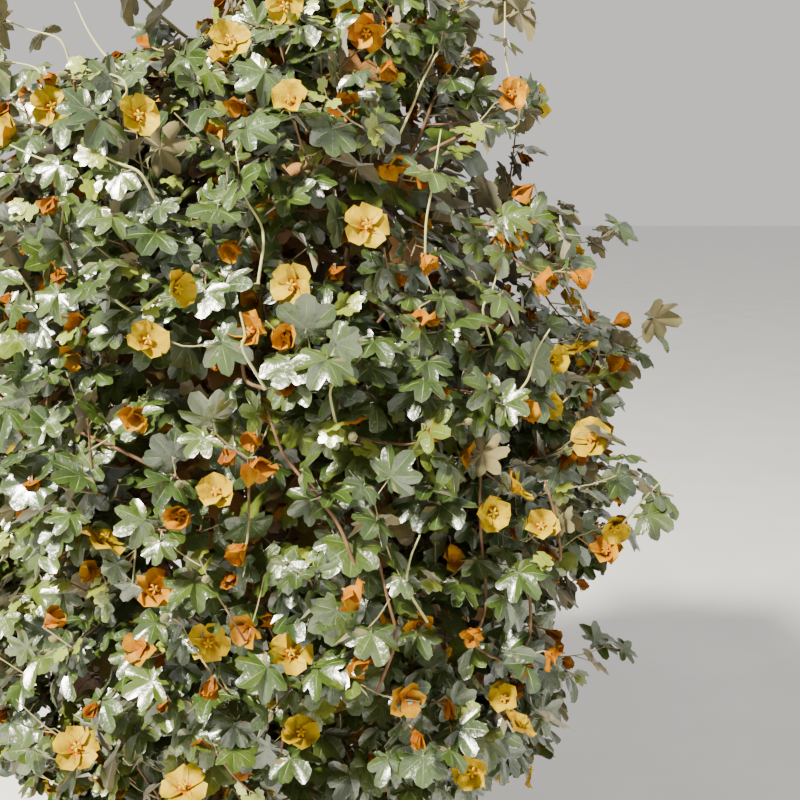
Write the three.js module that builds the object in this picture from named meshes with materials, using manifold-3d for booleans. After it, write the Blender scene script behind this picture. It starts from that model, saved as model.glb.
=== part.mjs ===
// A flannel bush, Fremontodendron, in a plain clay pot: a short trunk that forks low, a leader and six main
// boughs with three side boughs each, and one mass of twigs, lobed leaves and cup-shaped flowers on each bough.
// Millimetres, +Z up, origin at the centre of the pot's flat underside. The fuller side faces -Y.

import * as THREE from "three";
import Module from "manifold-3d";

const wasm = await Module();
wasm.setup();

// Pot and soil
const POT_HEIGHT = 370;
const POT_FOOT_RADIUS = 152;
const POT_TOP_RADIUS = 214;
const POT_WALL = 14;
const RIM_HEIGHT = 54;
const RIM_PROUD = 11;
const SOIL_BELOW_RIM = 26;
const POT_SIDES = 24;
const CLEARANCE = 0.3;

// Trunk and boughs
const SOIL_TOP = POT_HEIGHT - SOIL_BELOW_RIM;
const TRUNK_RADIUS = 24;
const TRUNK_FLARE = 1.6;
const TRUNK_TOP = 568;
const TRUNK_LEAN = 10;
const MAIN_BOUGHS = 6;
const FIRST_AZIMUTH = 14;
const FORK_HEIGHTS = [448, 500, 466, 520, 482, 538];
const MAIN_RADII = [11.5, 6];
const LEADER_RADII = [14, 6];
const SIDE_RADII = [7, 4.6];
const BOUGH_SPREAD = 170;
const BOUGH_RISE = 60;
const SIDE_SAG = 8;

// The crown: a superellipse of height and radius that leans a little, flatter from front to back
const CROWN_FOOT = 372;
const CROWN_WAIST = 1000;
const CROWN_TOP = 1880;
const CROWN_RADIUS = 560;
const CROWN_DEPTH_SHARE = 0.88;
const CROWN_LEAN = 20;
const POWER_BELOW = 2.2;
const POWER_ABOVE = 2;
const LUMPS = [
  { share: 0.049, turns: 3, climb: 0.333, start: 0 },
  { share: 0.045, turns: 5, climb: 1.03, start: 256 },
];
const DIP = { azimuth: 190, height: 1750, spreadDegrees: 62, spreadHeight: 95, depth: 250 };
const LOWEST_LEAF = POT_HEIGHT + 18;

// Tiers of masses on the side boughs and on the main boughs' own tips. turn is the azimuth from the main bough
const TIERS = [
  { name: "low", leaves: 0.16, turn: -17, tipRadius: 176, tipHeight: 548, radius: 300, height: 562, lift: 10 },
  { name: "middle", leaves: 0.42, turn: 18, tipRadius: 200, tipHeight: 790, radius: 360, height: 826, lift: 50 },
  { name: "high", leaves: 0.66, turn: -15, tipRadius: 194, tipHeight: 1036, radius: 358, height: 1100, lift: 60 },
  { name: "shoulder", leaves: 1, turn: 6, tipRadius: 168, tipHeight: 1262, radius: 290, height: 1370, lift: 70 },
];
const TIER_STAGGER = 110;
const STEM_REACH = 0.9;
const TOP_MASSES = 3;
const TOP_RADIUS = 128;
const TOP_HEIGHT = 1672;
const TOP_TIP_RADIUS = 50;
const TOP_SIDE_RADIUS = 88;
const TOP_TIP_HEIGHT = 1560;
const TOP_LEAVES_AT = [1, 0.7, 0.8];
const TOP_FIRST_AZIMUTH = 75;

// Long shoots that stand out of the crown, by the place of their tips
const LONG_SHOOT_TIPS = [
  [646, -90, 1000],
  [372, -96, 1770],
  [196, -150, 1850],
  [-186, -190, 1790],
  [-402, -110, 1690],
  [-240, 260, 1750],
  [280, 248, 1790],
  [-610, 60, 1150],
  [60, 540, 1010],
];

// Twigs, leaves and flowers, larger than life because the real bush has thousands
const STEM_RADII = [4.4, 4.4, 4, 3.4, 2.4];
const STEM_NECK = 8;
const TWIG_RADII = [3.2, 2.8, 1.9];
const TWIG_NECK = 7;
const TWIG_SIDES = 3;
const SIDE_TWIGS = 5;
const TWIG_ANGLE = 56;
const TWIG_LENGTH = 290;
const SHORTEST_TWIG = 70;
const SHORTEN_BY = 0.86;
const GOLDEN_ANGLE = 137.508;
const CELL_MARGIN = 1.2;
const LIMB_MARGIN = 15;
const TWIG_LIFT = 0.35;
const LEAF_LENGTH = 124;
const SMALL_LEAF = 0.74;
const LEAF_THICKNESS = 4;
const TWIG_SLACK = 0.92;
const LEAF_SLACK = 1.09;
const LEAF_TURNS = [
  [0, 1],
  [130, 1],
  [240, 1],
  [60, SMALL_LEAF],
  [190, SMALL_LEAF],
];
const LEAVES_ON_TWIG = [0.4, 0.68, 0.95];
const LEAVES_ON_STEM = [0.56, 0.77, 0.96];
const LEAVES_ON_SHOOT = [0.5, 0.74, 0.95];
const FLOWER_RADIUS = 38;
const FLOWER_DEPTH = 26;
const SEPALS = 5;
const FLOWER_AT = 0.8;
const FLOWER_SLACK = 1.06;
const FLOWER_TRIES = [0, -0.12, 0.1];

// Half of a leaf's outline from its base to its tip, as shares of its length: across, along, and lift
const LEAF_HALF = [
  [0.04, 0.2, 0],
  [0.5, 0.34, -0.08],
  [0.29, 0.96, -0.1],
];
const LEAF_MIDDLE = [0, 0.42, 0.06];

const UP = new THREE.Vector3(0, 0, 1);
const radians = THREE.MathUtils.degToRad;
const vector = (x, y, z) => new THREE.Vector3(x, y, z);
const mix = (a, b, t) => a + (b - a) * t;

// Random numbers from 0 to 1 that are the same on each run
function randomFrom(seed) {
  let state = seed;
  return () => {
    state = (state * 16807) % 2147483647;
    return state / 2147483647;
  };
}

function polar(azimuth, radius, height) {
  return vector(Math.cos(radians(azimuth)) * radius, Math.sin(radians(azimuth)) * radius, height);
}

// Solids

function solidFrom(points, triangles) {
  return new wasm.Manifold(
    new wasm.Mesh({
      numProp: 3,
      vertProperties: new Float32Array(points.flatMap((p) => [p.x, p.y, p.z])),
      triVerts: new Uint32Array(triangles.flat()),
    }),
  );
}

function geometryOf(solid) {
  const mesh = solid.getMesh();
  return new THREE.BufferGeometry()
    .setAttribute("position", new THREE.BufferAttribute(mesh.vertProperties, 3))
    .setIndex(new THREE.BufferAttribute(mesh.triVerts, 1));
}

// Lines: limbs and twigs follow a list of points, and t runs from 0 to 1 in equal shares of its pieces

function bezierLine(p0, p1, p2, p3, pieces) {
  const curve = new THREE.CubicBezierCurve3(p0, p1, p2, p3);
  return curve.getPoints(pieces);
}

function along(line, t) {
  const place = Math.min(t * (line.length - 1), line.length - 1.000001);
  const i = Math.floor(place);
  return line[i].clone().lerp(line[i + 1], place - i);
}

function heading(line, t) {
  const i = Math.min(Math.floor(t * (line.length - 1)), line.length - 2);
  return line[i + 1].clone().sub(line[i]).normalize();
}

function samples(line, count) {
  return Array.from({ length: count }, (_, i) => along(line, (i + 1) / count));
}

// A direction square to another one, the same for the same input
function sideOf(direction) {
  const across = Math.abs(direction.z) > 0.9 ? vector(1, 0, 0) : UP;
  return vector().crossVectors(direction, across).normalize();
}

// A limb through the points of a line, each with its radius. A foot of radius 0 is a single point
function sweep(line, sides, radii) {
  const last = line.length - 1;
  const rings = [];
  const points = [];
  let side = sideOf(heading(line, 0));
  line.forEach((centre, i) => {
    const before = line[Math.max(i - 1, 0)];
    const after = line[Math.min(i + 1, last)];
    const direction = after.clone().sub(before).normalize();
    side = side.clone().addScaledVector(direction, -side.dot(direction)).normalize();
    const across = vector().crossVectors(direction, side);
    const ring = [];
    for (let j = 0; j < sides; j++) {
      const angle = (j / sides) * 2 * Math.PI;
      const out = side.clone().multiplyScalar(Math.cos(angle)).addScaledVector(across, Math.sin(angle));
      if (radii[i] > 0 || j === 0) points.push(centre.clone().addScaledVector(out, radii[i]));
      ring.push(points.length - 1);
    }
    rings.push(ring);
  });
  const triangles = [];
  for (let i = 0; i < last; i++)
    for (let j = 0; j < sides; j++) {
      const next = (j + 1) % sides;
      const [a, b, c, d] = [rings[i][j], rings[i][next], rings[i + 1][next], rings[i + 1][j]];
      if (a !== b) triangles.push([a, b, c]);
      triangles.push([a, c, d]);
    }
  const [foot, top] = [rings[0], rings[last]];
  for (let j = 1; j < sides - 1; j++) {
    if (foot[0] !== foot[1]) triangles.push([foot[0], foot[j + 1], foot[j]]);
    triangles.push([top[0], top[j], top[j + 1]]);
  }
  return solidFrom(points, triangles);
}

// A thin star-shaped plate between two middles, with a sharp edge all round
function plate(outline, upper, lower) {
  const points = [...outline, upper, lower];
  const count = outline.length;
  const triangles = outline.flatMap((_, i) => [
    [i, (i + 1) % count, count],
    [(i + 1) % count, i, count + 1],
  ]);
  return solidFrom(points, triangles);
}

// The crown's outline

function crownAxis(height) {
  return (CROWN_LEAN * (height - CROWN_FOOT)) / (CROWN_TOP - CROWN_FOOT);
}

function crownRadius(azimuth, height) {
  const below = height < CROWN_WAIST;
  const reach = below ? CROWN_WAIST - CROWN_FOOT : CROWN_TOP - CROWN_WAIST;
  const power = below ? POWER_BELOW : POWER_ABOVE;
  const share = Math.min(1, Math.abs(height - CROWN_WAIST) / reach);
  const round = CROWN_RADIUS * (1 - share ** power) ** (1 / power);
  const flat = Math.hypot(Math.cos(radians(azimuth)), Math.sin(radians(azimuth)) / CROWN_DEPTH_SHARE);
  const wave = ({ share, turns, climb, start }) => share * Math.sin(radians(turns * azimuth + climb * height + start));
  const lumps = LUMPS.reduce((sum, lump) => sum + wave(lump), 1);
  const turned = ((azimuth - DIP.azimuth + 540) % 360) - 180;
  const dip = Math.exp(-((turned / DIP.spreadDegrees) ** 2) - ((height - DIP.height) / DIP.spreadHeight) ** 2);
  return Math.max(0, (round / flat) * lumps - DIP.depth * dip);
}

function crownPoint(azimuth, height, share) {
  const point = polar(azimuth, crownRadius(azimuth, height) * share, height);
  point.x += crownAxis(height);
  return point;
}

function inCrown(point, slack) {
  const x = point.x - crownAxis(point.z);
  const azimuth = (THREE.MathUtils.radToDeg(Math.atan2(point.y, x)) + 360) % 360;
  return point.z > LOWEST_LEAF && Math.hypot(x, point.y) < crownRadius(azimuth, point.z) * slack;
}

// Limbs: each has its line and radii, and is cut clear of the limb that carries it

function largestBody(solid) {
  return solid.decompose().sort((a, b) => b.volume() - a.volume())[0];
}

function limb(name, line, radii, sides, parent) {
  const taper = line.map((_, i) => mix(radii[0], radii[1], i / (line.length - 1)));
  const grown = sweep(parent.line, parent.sides, parent.radii.map((radius) => radius + CLEARANCE * 1.3));
  const solid = largestBody(sweep(line, sides, taper).subtract(grown));
  return { name, line, radii: taper, sides, solid };
}

function trunkLimb() {
  const foot = vector(0, 0, SOIL_TOP + CLEARANCE);
  const neck = vector(0, 0, foot.z + 10);
  const top = vector(TRUNK_LEAN, 0, TRUNK_TOP);
  const bend = mix(foot.z, top.z, 0.55);
  const line = [
    foot,
    neck,
    ...bezierLine(
      vector(0, 0, foot.z + 26),
      vector(-TRUNK_LEAN, TRUNK_LEAN, bend),
      vector(0, TRUNK_LEAN, mix(bend, top.z, 0.5)),
      top,
      3,
    ),
  ];
  const radii = [TRUNK_FLARE, TRUNK_FLARE * 0.84, 1, 0.94, 0.9, 0.84].map((share) => share * TRUNK_RADIUS);
  const sides = 8;
  return { name: "trunk", line, radii, sides, solid: sweep(line, sides, radii) };
}

function boughAzimuth(index) {
  return FIRST_AZIMUTH + (index * 360) / MAIN_BOUGHS;
}

function mainBough(index, trunk) {
  const azimuth = boughAzimuth(index);
  const { tipRadius, tipHeight, turn } = TIERS[TIERS.length - 1];
  const fork = FORK_HEIGHTS[index];
  const start = along(trunk.line, (fork - SOIL_TOP) / (TRUNK_TOP - SOIL_TOP));
  const elbow = polar(azimuth, BOUGH_SPREAD, start.z + BOUGH_RISE);
  const neck = polar(azimuth + 3, BOUGH_SPREAD, mix(start.z, tipHeight, 0.7));
  const tip = polar(azimuth + turn, tipRadius, tipHeight + TIER_STAGGER * (index % 2));
  return limb(`main_bough_${index + 1}`, bezierLine(start, elbow, neck, tip, 6), MAIN_RADII, 5, trunk);
}

function sideBough(index, main, tier) {
  const start = along(main.line, tier.leaves);
  const tip = polar(boughAzimuth(index) + tier.turn, tier.tipRadius, tier.tipHeight + TIER_STAGGER * (index % 2));
  const middle = start.clone().lerp(tip, 0.5).addScaledVector(UP, -SIDE_SAG);
  return limb(`bough_${index + 1}_${tier.name}`, [start, middle, tip], SIDE_RADII, 4, main);
}

function leaderBough(trunk) {
  const direction = heading(trunk.line, 1);
  const start = along(trunk.line, 1).addScaledVector(direction, CLEARANCE * 1.4);
  const neck = start.clone().addScaledVector(direction, STEM_NECK);
  const tip = polar(TOP_FIRST_AZIMUTH, TOP_TIP_RADIUS, TOP_TIP_HEIGHT);
  const low = neck.clone().addScaledVector(direction, 260);
  const high = vector(-TOP_TIP_RADIUS, -TOP_TIP_RADIUS / 2, mix(start.z, tip.z, 0.68));
  return limb("leader", [start, ...bezierLine(neck, low, high, tip, 5)], LEADER_RADII, 5, trunk);
}

function topBough(index, leader) {
  const start = along(leader.line, TOP_LEAVES_AT[index]);
  const azimuth = TOP_FIRST_AZIMUTH + (index * 360) / TOP_MASSES;
  const tip = polar(azimuth, TOP_SIDE_RADIUS, TOP_TIP_HEIGHT - 20 * index);
  const middle = start.clone().lerp(tip, 0.5).addScaledVector(UP, -SIDE_SAG);
  return limb(`bough_top_${index + 1}`, [start, middle, tip], SIDE_RADII, 4, leader);
}

// Masses: each grows from its bough's tip inside the part of the crown that is nearest to its own centre

function massesOf(boughs) {
  const masses = [];
  TIERS.forEach((tier, level) => {
    for (let index = 0; index < MAIN_BOUGHS; index++) {
      const random = randomFrom(101 + level * 17 + index * 5);
      random();
      const azimuth = FIRST_AZIMUTH + (index * 360) / MAIN_BOUGHS + tier.turn * 1.3 + 6 * (random() - 0.5);
      const height = tier.height + TIER_STAGGER * (index % 2) + 24 * (random() - 0.5);
      const centre = polar(azimuth, tier.radius, height);
      centre.x += crownAxis(height);
      masses.push({
        name: `foliage_${index + 1}_${tier.name}`,
        bough: level < TIERS.length - 1 ? boughs.side[level][index] : boughs.main[index],
        centre,
        azimuth,
        target: crownPoint(azimuth, height + tier.lift, STEM_REACH),
        seed: 1000 + level * 100 + index * 7,
      });
    }
  });
  for (let index = 0; index < TOP_MASSES; index++) {
    const azimuth = TOP_FIRST_AZIMUTH + (index * 360) / TOP_MASSES;
    const centre = polar(azimuth, TOP_RADIUS, TOP_HEIGHT + 16 * index);
    centre.x += crownAxis(TOP_HEIGHT);
    masses.push({
      name: `foliage_top_${index + 1}`,
      bough: index ? boughs.top[index] : boughs.leader,
      centre,
      azimuth,
      target: crownPoint(azimuth, CROWN_TOP - 60, 0.5),
      seed: 1900 + index * 7,
    });
  }
  return masses;
}

function inCell(point, mass, masses, margin) {
  return masses.every((other) => {
    if (other === mass) return true;
    const away = other.centre.clone().sub(mass.centre);
    const middle = other.centre.clone().add(mass.centre).multiplyScalar(0.5);
    return point.clone().sub(middle).dot(away) / away.length() < -margin;
  });
}

// The limbs' lines as short segments with a radius, for keeping twigs and leaves off the wood
function segmentsOf(limbs) {
  return limbs.flatMap(({ line, radii }) =>
    line.slice(1).map((end, i) => ({ line: new THREE.Line3(line[i], end), radius: radii[i] })),
  );
}

function clearOfLimbs(points, segments) {
  const nearest = vector();
  return segments.every(({ line, radius }) =>
    points.every((p) => line.closestPointToPoint(p, true, nearest).distanceTo(p) > radius + LIMB_MARGIN),
  );
}

// A twig leaves its parent at a slant, round it by an angle, and turns up in its outer half
function twigLine(parent, t, around, length) {
  const start = along(parent, t);
  const direction = heading(parent, t);
  const out = sideOf(direction).applyAxisAngle(direction, radians(around));
  direction.multiplyScalar(Math.cos(radians(TWIG_ANGLE))).addScaledVector(out, Math.sin(radians(TWIG_ANGLE)));
  const elbow = start.clone().addScaledVector(direction, length / 2);
  direction.addScaledVector(UP, TWIG_LIFT).normalize();
  return [start, elbow, elbow.clone().addScaledVector(direction, length / 2)];
}

// A twig's solid starts as a point at its parent's axis and has its full width outside the parent's skin
function twigSolid(line) {
  const neck = line[0].clone().addScaledVector(heading(line, 0), TWIG_NECK);
  return sweep([line[0], neck, line[1], line[2]], TWIG_SIDES, [0, ...TWIG_RADII]);
}

function fittedTwig(parent, t, around, mass, masses, segments) {
  for (let length = TWIG_LENGTH; length > SHORTEST_TWIG; length *= SHORTEN_BY) {
    const line = twigLine(parent, t, around, length);
    const points = samples(line, 6);
    const inside = points.every((p) => inCell(p, mass, masses, CELL_MARGIN + TWIG_RADII[0]) && inCrown(p, TWIG_SLACK));
    if (inside && clearOfLimbs(points, segments)) return line;
  }
  return null;
}

// A leaf at a point of a twig: its axis turns outwards and its face to the light
function leafAt(base, tangent, around, length, random) {
  const out = sideOf(tangent).applyAxisAngle(tangent, radians(around));
  const outward = vector(base.x, base.y, 0).normalize();
  const axis = tangent
    .clone()
    .multiplyScalar(0.3)
    .addScaledVector(out, 1)
    .addScaledVector(outward, 0.3)
    .addScaledVector(UP, -0.3 * random())
    .normalize();
  const tilt = vector(random() - 0.5, random() - 0.5, random() - 0.5).multiplyScalar(0.7);
  const face = UP.clone().multiplyScalar(0.7).addScaledVector(outward, 0.7).add(tilt);
  face.addScaledVector(axis, -face.dot(axis)).normalize();
  const across = vector().crossVectors(axis, face);
  const place = ([x, y, z]) =>
    base
      .clone()
      .addScaledVector(across, x * length)
      .addScaledVector(axis, y * length)
      .addScaledVector(face, z * length);
  const right = LEAF_HALF.map(place);
  const left = LEAF_HALF.map(([x, y, z]) => place([-x, y, z])).reverse();
  const middle = place(LEAF_MIDDLE);
  return {
    outline: [base.clone(), ...right, ...left],
    upper: middle.clone().addScaledVector(face, LEAF_THICKNESS / 2),
    lower: middle.clone().addScaledVector(face, -LEAF_THICKNESS / 2),
  };
}

// A five-sided cup that opens outwards and up, with its foot in the twig
function flowerAt(base, random) {
  const direction = vector(base.x, base.y, 0).normalize().multiplyScalar(0.9).addScaledVector(UP, 0.35);
  direction.add(vector(random() - 0.5, random() - 0.5, random() - 0.5)).normalize();
  const side = sideOf(direction);
  const across = vector().crossVectors(direction, side);
  const outline = Array.from({ length: SEPALS }, (_, i) => {
    const angle = (i / SEPALS) * 2 * Math.PI;
    return base
      .clone()
      .addScaledVector(side, Math.cos(angle) * FLOWER_RADIUS)
      .addScaledVector(across, Math.sin(angle) * FLOWER_RADIUS)
      .addScaledVector(direction, FLOWER_DEPTH);
  });
  return { outline, upper: base.clone().addScaledVector(direction, FLOWER_DEPTH * 0.35), lower: base.clone() };
}

function platePoints({ outline, upper, lower }) {
  const edges = outline.map((p, i) => p.clone().lerp(outline[(i + 1) % outline.length], 0.5));
  const spokes = outline.map((p) => p.clone().lerp(upper, 0.5));
  return [...outline, upper, lower, ...edges, ...spokes];
}

function overlaps(one, other) {
  const a = one.boundingBox();
  const b = other.boundingBox();
  const apart = a.min.some((_, i) => a.min[i] > b.max[i] || b.min[i] > a.max[i]);
  return !apart && !one.intersect(other).isEmpty();
}

function growMass(mass, masses, segments) {
  const random = randomFrom(mass.seed);
  const leafRandom = randomFrom(mass.seed * 3);
  random();
  leafRandom();
  const start = along(mass.bough.line, 1);
  const direction = heading(mass.bough.line, 1);
  start.addScaledVector(direction, CLEARANCE);
  const neck = start.clone().addScaledVector(direction, STEM_NECK);
  const reach = neck.distanceTo(mass.target);
  const bend = neck.clone().addScaledVector(direction, reach * 0.35);
  const stem = [start, ...bezierLine(neck, bend, bend.clone().lerp(mass.target, 0.5), mass.target, 3)];
  const pieces = [sweep(stem, TWIG_SIDES, STEM_RADII)];

  const addPlate = (made, slack, twig) => {
    const points = platePoints(made);
    const inside = points.every((p) => inCell(p, mass, masses, CELL_MARGIN) && (!slack || inCrown(p, slack)));
    if (!inside || !clearOfLimbs(points.slice(1), segments)) return false;
    const solid = plate(made.outline, made.upper, made.lower);
    if (pieces.some((piece) => piece !== twig && overlaps(piece, solid))) return false;
    pieces.push(solid);
    return true;
  };
  const addLeaves = (line, places, slack, twig) =>
    places.forEach((t, i) => {
      const first = i * GOLDEN_ANGLE + 360 * leafRandom();
      const length = LEAF_LENGTH * mix(0.86, 1.08, leafRandom());
      LEAF_TURNS.some(([turn, share]) =>
        addPlate(leafAt(along(line, t), heading(line, t), first + turn, length * share, leafRandom), slack, twig),
      );
    });
  const addFlower = (line, t, twig) =>
    FLOWER_TRIES.some((shift) => addPlate(flowerAt(along(line, t + shift), leafRandom), FLOWER_SLACK, twig));

  const twigs = [{ line: stem, solid: pieces[0], places: LEAVES_ON_STEM, flower: null, slack: LEAF_SLACK }];
  for (let i = 0; i < SIDE_TWIGS; i++) {
    const t = 0.14 + (0.7 * i) / SIDE_TWIGS + 0.05 * random();
    const line = fittedTwig(stem, t, i * GOLDEN_ANGLE + 40 * random(), mass, masses, segments);
    if (!line) continue;
    const solid = twigSolid(line);
    twigs.push({ line, solid, places: LEAVES_ON_TWIG, flower: i === 1 ? FLOWER_AT : null, slack: LEAF_SLACK });
  }
  LONG_SHOOT_TIPS.map((p) => vector(...p)).forEach((tip) => {
    const from = along(stem, 0.6);
    const elbow = from.clone().lerp(tip, 0.5).addScaledVector(UP, -0.06 * from.distanceTo(tip));
    const line = [from, elbow, tip];
    if (!samples(line, 6).every((p) => inCell(p, mass, masses, TWIG_RADII[0] + CELL_MARGIN))) return;
    const solid = twigSolid(line);
    twigs.push({ line, solid, places: LEAVES_ON_SHOOT, flower: null, slack: null });
  });
  twigs.slice(1).forEach(({ solid }) => pieces.push(solid));
  twigs.forEach(({ line, solid, flower }) => flower && addFlower(line, flower, solid));
  twigs.forEach(({ line, solid, places, slack }) => addLeaves(line, places, slack, solid));
  return largestBody(wasm.Manifold.union(pieces));
}

// Pot and soil

function lathe(profile) {
  const points = profile.map(([radius, height]) => new THREE.Vector2(radius, height));
  return new THREE.LatheGeometry(points, POT_SIDES).rotateX(Math.PI / 2);
}

function potWallRadius(height) {
  return mix(POT_FOOT_RADIUS, POT_TOP_RADIUS, height / POT_HEIGHT);
}

function potGeometry() {
  const rimFoot = POT_HEIGHT - RIM_HEIGHT;
  const inner = (height) => potWallRadius(height) - POT_WALL;
  return lathe([
    [0, 0],
    [POT_FOOT_RADIUS - 4, 0],
    [potWallRadius(4), 4],
    [potWallRadius(rimFoot), rimFoot],
    [potWallRadius(rimFoot) + RIM_PROUD, rimFoot + 5],
    [POT_TOP_RADIUS + RIM_PROUD, POT_HEIGHT - 5],
    [POT_TOP_RADIUS + RIM_PROUD - 5, POT_HEIGHT],
    [inner(POT_HEIGHT) + 4, POT_HEIGHT],
    [inner(POT_HEIGHT), POT_HEIGHT - 5],
    [inner(POT_WALL), POT_WALL],
    [0, POT_WALL],
  ]);
}

function soilGeometry() {
  const inner = (height) => potWallRadius(height) - POT_WALL - CLEARANCE;
  const foot = POT_WALL + CLEARANCE;
  return lathe([
    [0, foot],
    [inner(foot), foot],
    [inner(SOIL_TOP - 8), SOIL_TOP - 8],
    [inner(SOIL_TOP) - 20, SOIL_TOP],
    [0, SOIL_TOP],
  ]);
}

// Assembly

const MATERIALS = {
  clay: new THREE.MeshStandardMaterial({ color: 0xa9603f, roughness: 0.85, metalness: 0 }),
  soil: new THREE.MeshStandardMaterial({ color: 0x2e2219, roughness: 1, metalness: 0 }),
  bark: new THREE.MeshStandardMaterial({ color: 0x6b4a33, roughness: 0.9, metalness: 0 }),
  foliage: new THREE.MeshStandardMaterial({ color: 0x4f6b34, roughness: 0.45, metalness: 0 }),
};

function meshOf(name, geometry, material) {
  const mesh = new THREE.Mesh(geometry, material);
  mesh.name = name;
  return mesh;
}

function flannelBush() {
  const trunk = trunkLimb();
  const main = FORK_HEIGHTS.map((_, index) => mainBough(index, trunk));
  const side = TIERS.slice(0, -1).map((tier) => main.map((bough, index) => sideBough(index, bough, tier)));
  const leader = leaderBough(trunk);
  const top = Array.from({ length: TOP_MASSES }, (_, index) => (index ? topBough(index, leader) : null));
  const limbs = [trunk, ...main, ...side.flat(), leader, ...top.filter(Boolean)];
  const segments = segmentsOf(limbs);
  const masses = massesOf({ main, side, leader, top });

  const group = new THREE.Group();
  group.add(meshOf("pot", potGeometry(), MATERIALS.clay));
  group.add(meshOf("soil", soilGeometry(), MATERIALS.soil));
  limbs.forEach((one) => group.add(meshOf(one.name, geometryOf(one.solid), MATERIALS.bark)));
  masses.forEach((mass) => {
    group.add(meshOf(mass.name, geometryOf(growMass(mass, masses, segments)), MATERIALS.foliage));
  });
  return group;
}

export default flannelBush();
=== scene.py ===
import math

import bpy
import numpy as np
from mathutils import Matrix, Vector


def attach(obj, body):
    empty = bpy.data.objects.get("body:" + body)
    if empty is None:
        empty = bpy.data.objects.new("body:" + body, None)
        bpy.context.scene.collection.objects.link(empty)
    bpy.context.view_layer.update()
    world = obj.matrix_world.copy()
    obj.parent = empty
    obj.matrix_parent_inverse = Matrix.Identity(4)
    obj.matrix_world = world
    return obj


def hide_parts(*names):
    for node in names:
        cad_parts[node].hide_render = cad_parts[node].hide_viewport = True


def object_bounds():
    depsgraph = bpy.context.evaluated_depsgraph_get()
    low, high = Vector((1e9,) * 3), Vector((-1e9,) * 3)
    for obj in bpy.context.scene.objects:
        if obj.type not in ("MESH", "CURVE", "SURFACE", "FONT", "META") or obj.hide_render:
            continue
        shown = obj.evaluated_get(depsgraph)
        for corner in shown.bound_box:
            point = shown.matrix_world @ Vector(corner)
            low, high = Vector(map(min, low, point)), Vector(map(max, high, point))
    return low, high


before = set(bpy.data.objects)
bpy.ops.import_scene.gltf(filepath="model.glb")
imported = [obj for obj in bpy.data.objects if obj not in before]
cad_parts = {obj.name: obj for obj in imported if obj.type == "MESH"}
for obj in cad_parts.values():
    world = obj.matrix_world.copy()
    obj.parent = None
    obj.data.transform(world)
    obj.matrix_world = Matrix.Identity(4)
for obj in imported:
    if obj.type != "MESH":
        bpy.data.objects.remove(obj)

# A flannel bush in a plain clay pot. The limbs, masses and twigs follow the same rule as the solids, and they
# grow on here to finer twigs with leaves, flowers and buds of real size. The rule works in millimetres
CAD_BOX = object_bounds()
MM = 0.001
UP = np.array([0.0, 0.0, 1.0])
RANDOM_FACTOR = 16807
RANDOM_PRIME = 2147483647

# Camera and the photograph's frame
IMAGE_SIZE = 800
FOCAL_PIXELS = 1042
CAMERA_PLACE = np.array([210.0, -1680.0, 1500.0])
CAMERA_PITCH = -12.2
SENSOR_WIDTH = 36

# Lights and floor, in metres
LIGHT_AIM = (0, 0, 1.0)
KEY_PLACE = (-2.2, -2.6, 4.8)
KEY_SIZE = 0.55
KEY_POWER = 1380
KEY_COLOUR = (1.0, 0.94, 0.82)
FILL_PLACE = (3.2, -3.0, 2.2)
FILL_SIZE = 3.0
FILL_POWER = 60
FILL_COLOUR = (1.0, 0.97, 0.92)
SKY_COLOUR = (1.0, 0.985, 0.95, 1)
SKY_STRENGTH = 0.74
FLOOR_REACH = 30

# Pot and soil
POT_HEIGHT = 370
POT_FOOT_RADIUS = 152
POT_TOP_RADIUS = 214
POT_WALL = 14
RIM_HEIGHT = 54
RIM_PROUD = 11
SOIL_BELOW_RIM = 26
POT_SIDES = 120
SOIL_SIDES = 110
CRUMB_RINGS = range(8, 176, 7)
CRUMB_HEIGHTS = (-2.2, 1.2)
CRUMB_SEED = 5
CLEARANCE = 0.3

# Trunk and boughs
SOIL_TOP = POT_HEIGHT - SOIL_BELOW_RIM
TRUNK_RADIUS = 24
TRUNK_FLARE = 1.6
TRUNK_TAPER = [TRUNK_FLARE, TRUNK_FLARE * 0.84, 1, 0.94, 0.9, 0.84]
TRUNK_TOP = 568
TRUNK_LEAN = 10
TRUNK_BEND = 0.55
FLARE_TOP = 10
STRAIGHT_TOP = 26
FOOT_IN_SOIL = 5
MAIN_BOUGHS = 6
FIRST_AZIMUTH = 14
FORK_HEIGHTS = [448, 500, 466, 520, 482, 538]
MAIN_RADII = [11.5, 6]
LEADER_RADII = [14, 6]
SIDE_RADII = [7, 4.6]
BOUGH_SPREAD = 170
BOUGH_RISE = 60
BOUGH_NECK = 0.7
BOUGH_NECK_TURN = 3
SIDE_SAG = 8
LEADER_GAP = 1.4
LEADER_RISE = 260
LEADER_BEND = 0.68
TRUNK_SIDES = 24
BOUGH_SIDES = 12
LIMB_PIECES = 5
RIDGE_DEPTH = 0.06
RIDGES = 5
RIDGE_TWIST = 14

# The crown: a superellipse of height and radius that leans a little, flatter from front to back
CROWN_FOOT = 372
CROWN_WAIST = 1000
CROWN_TOP = 1880
CROWN_RADIUS = 560
CROWN_DEPTH_SHARE = 0.88
CROWN_LEAN = 20
POWER_BELOW = 2.2
POWER_ABOVE = 2
LUMPS = [(0.049, 3, 0.333, 0), (0.045, 5, 1.03, 256)]
DIP = {"azimuth": 190, "height": 1750, "spread_degrees": 62, "spread_height": 95, "depth": 250}
LOWEST_LEAF = POT_HEIGHT + 18
COVER = 170

# Parts of the crown that stand open, on the side that sign gives
OPEN_PARTS = [
    {"sign": 1, "from": 170, "height": 1290, "over": 150, "share": 1.0},
    {"sign": -1, "from": 190, "height": 1560, "over": 120, "share": 0.7},
]

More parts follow.
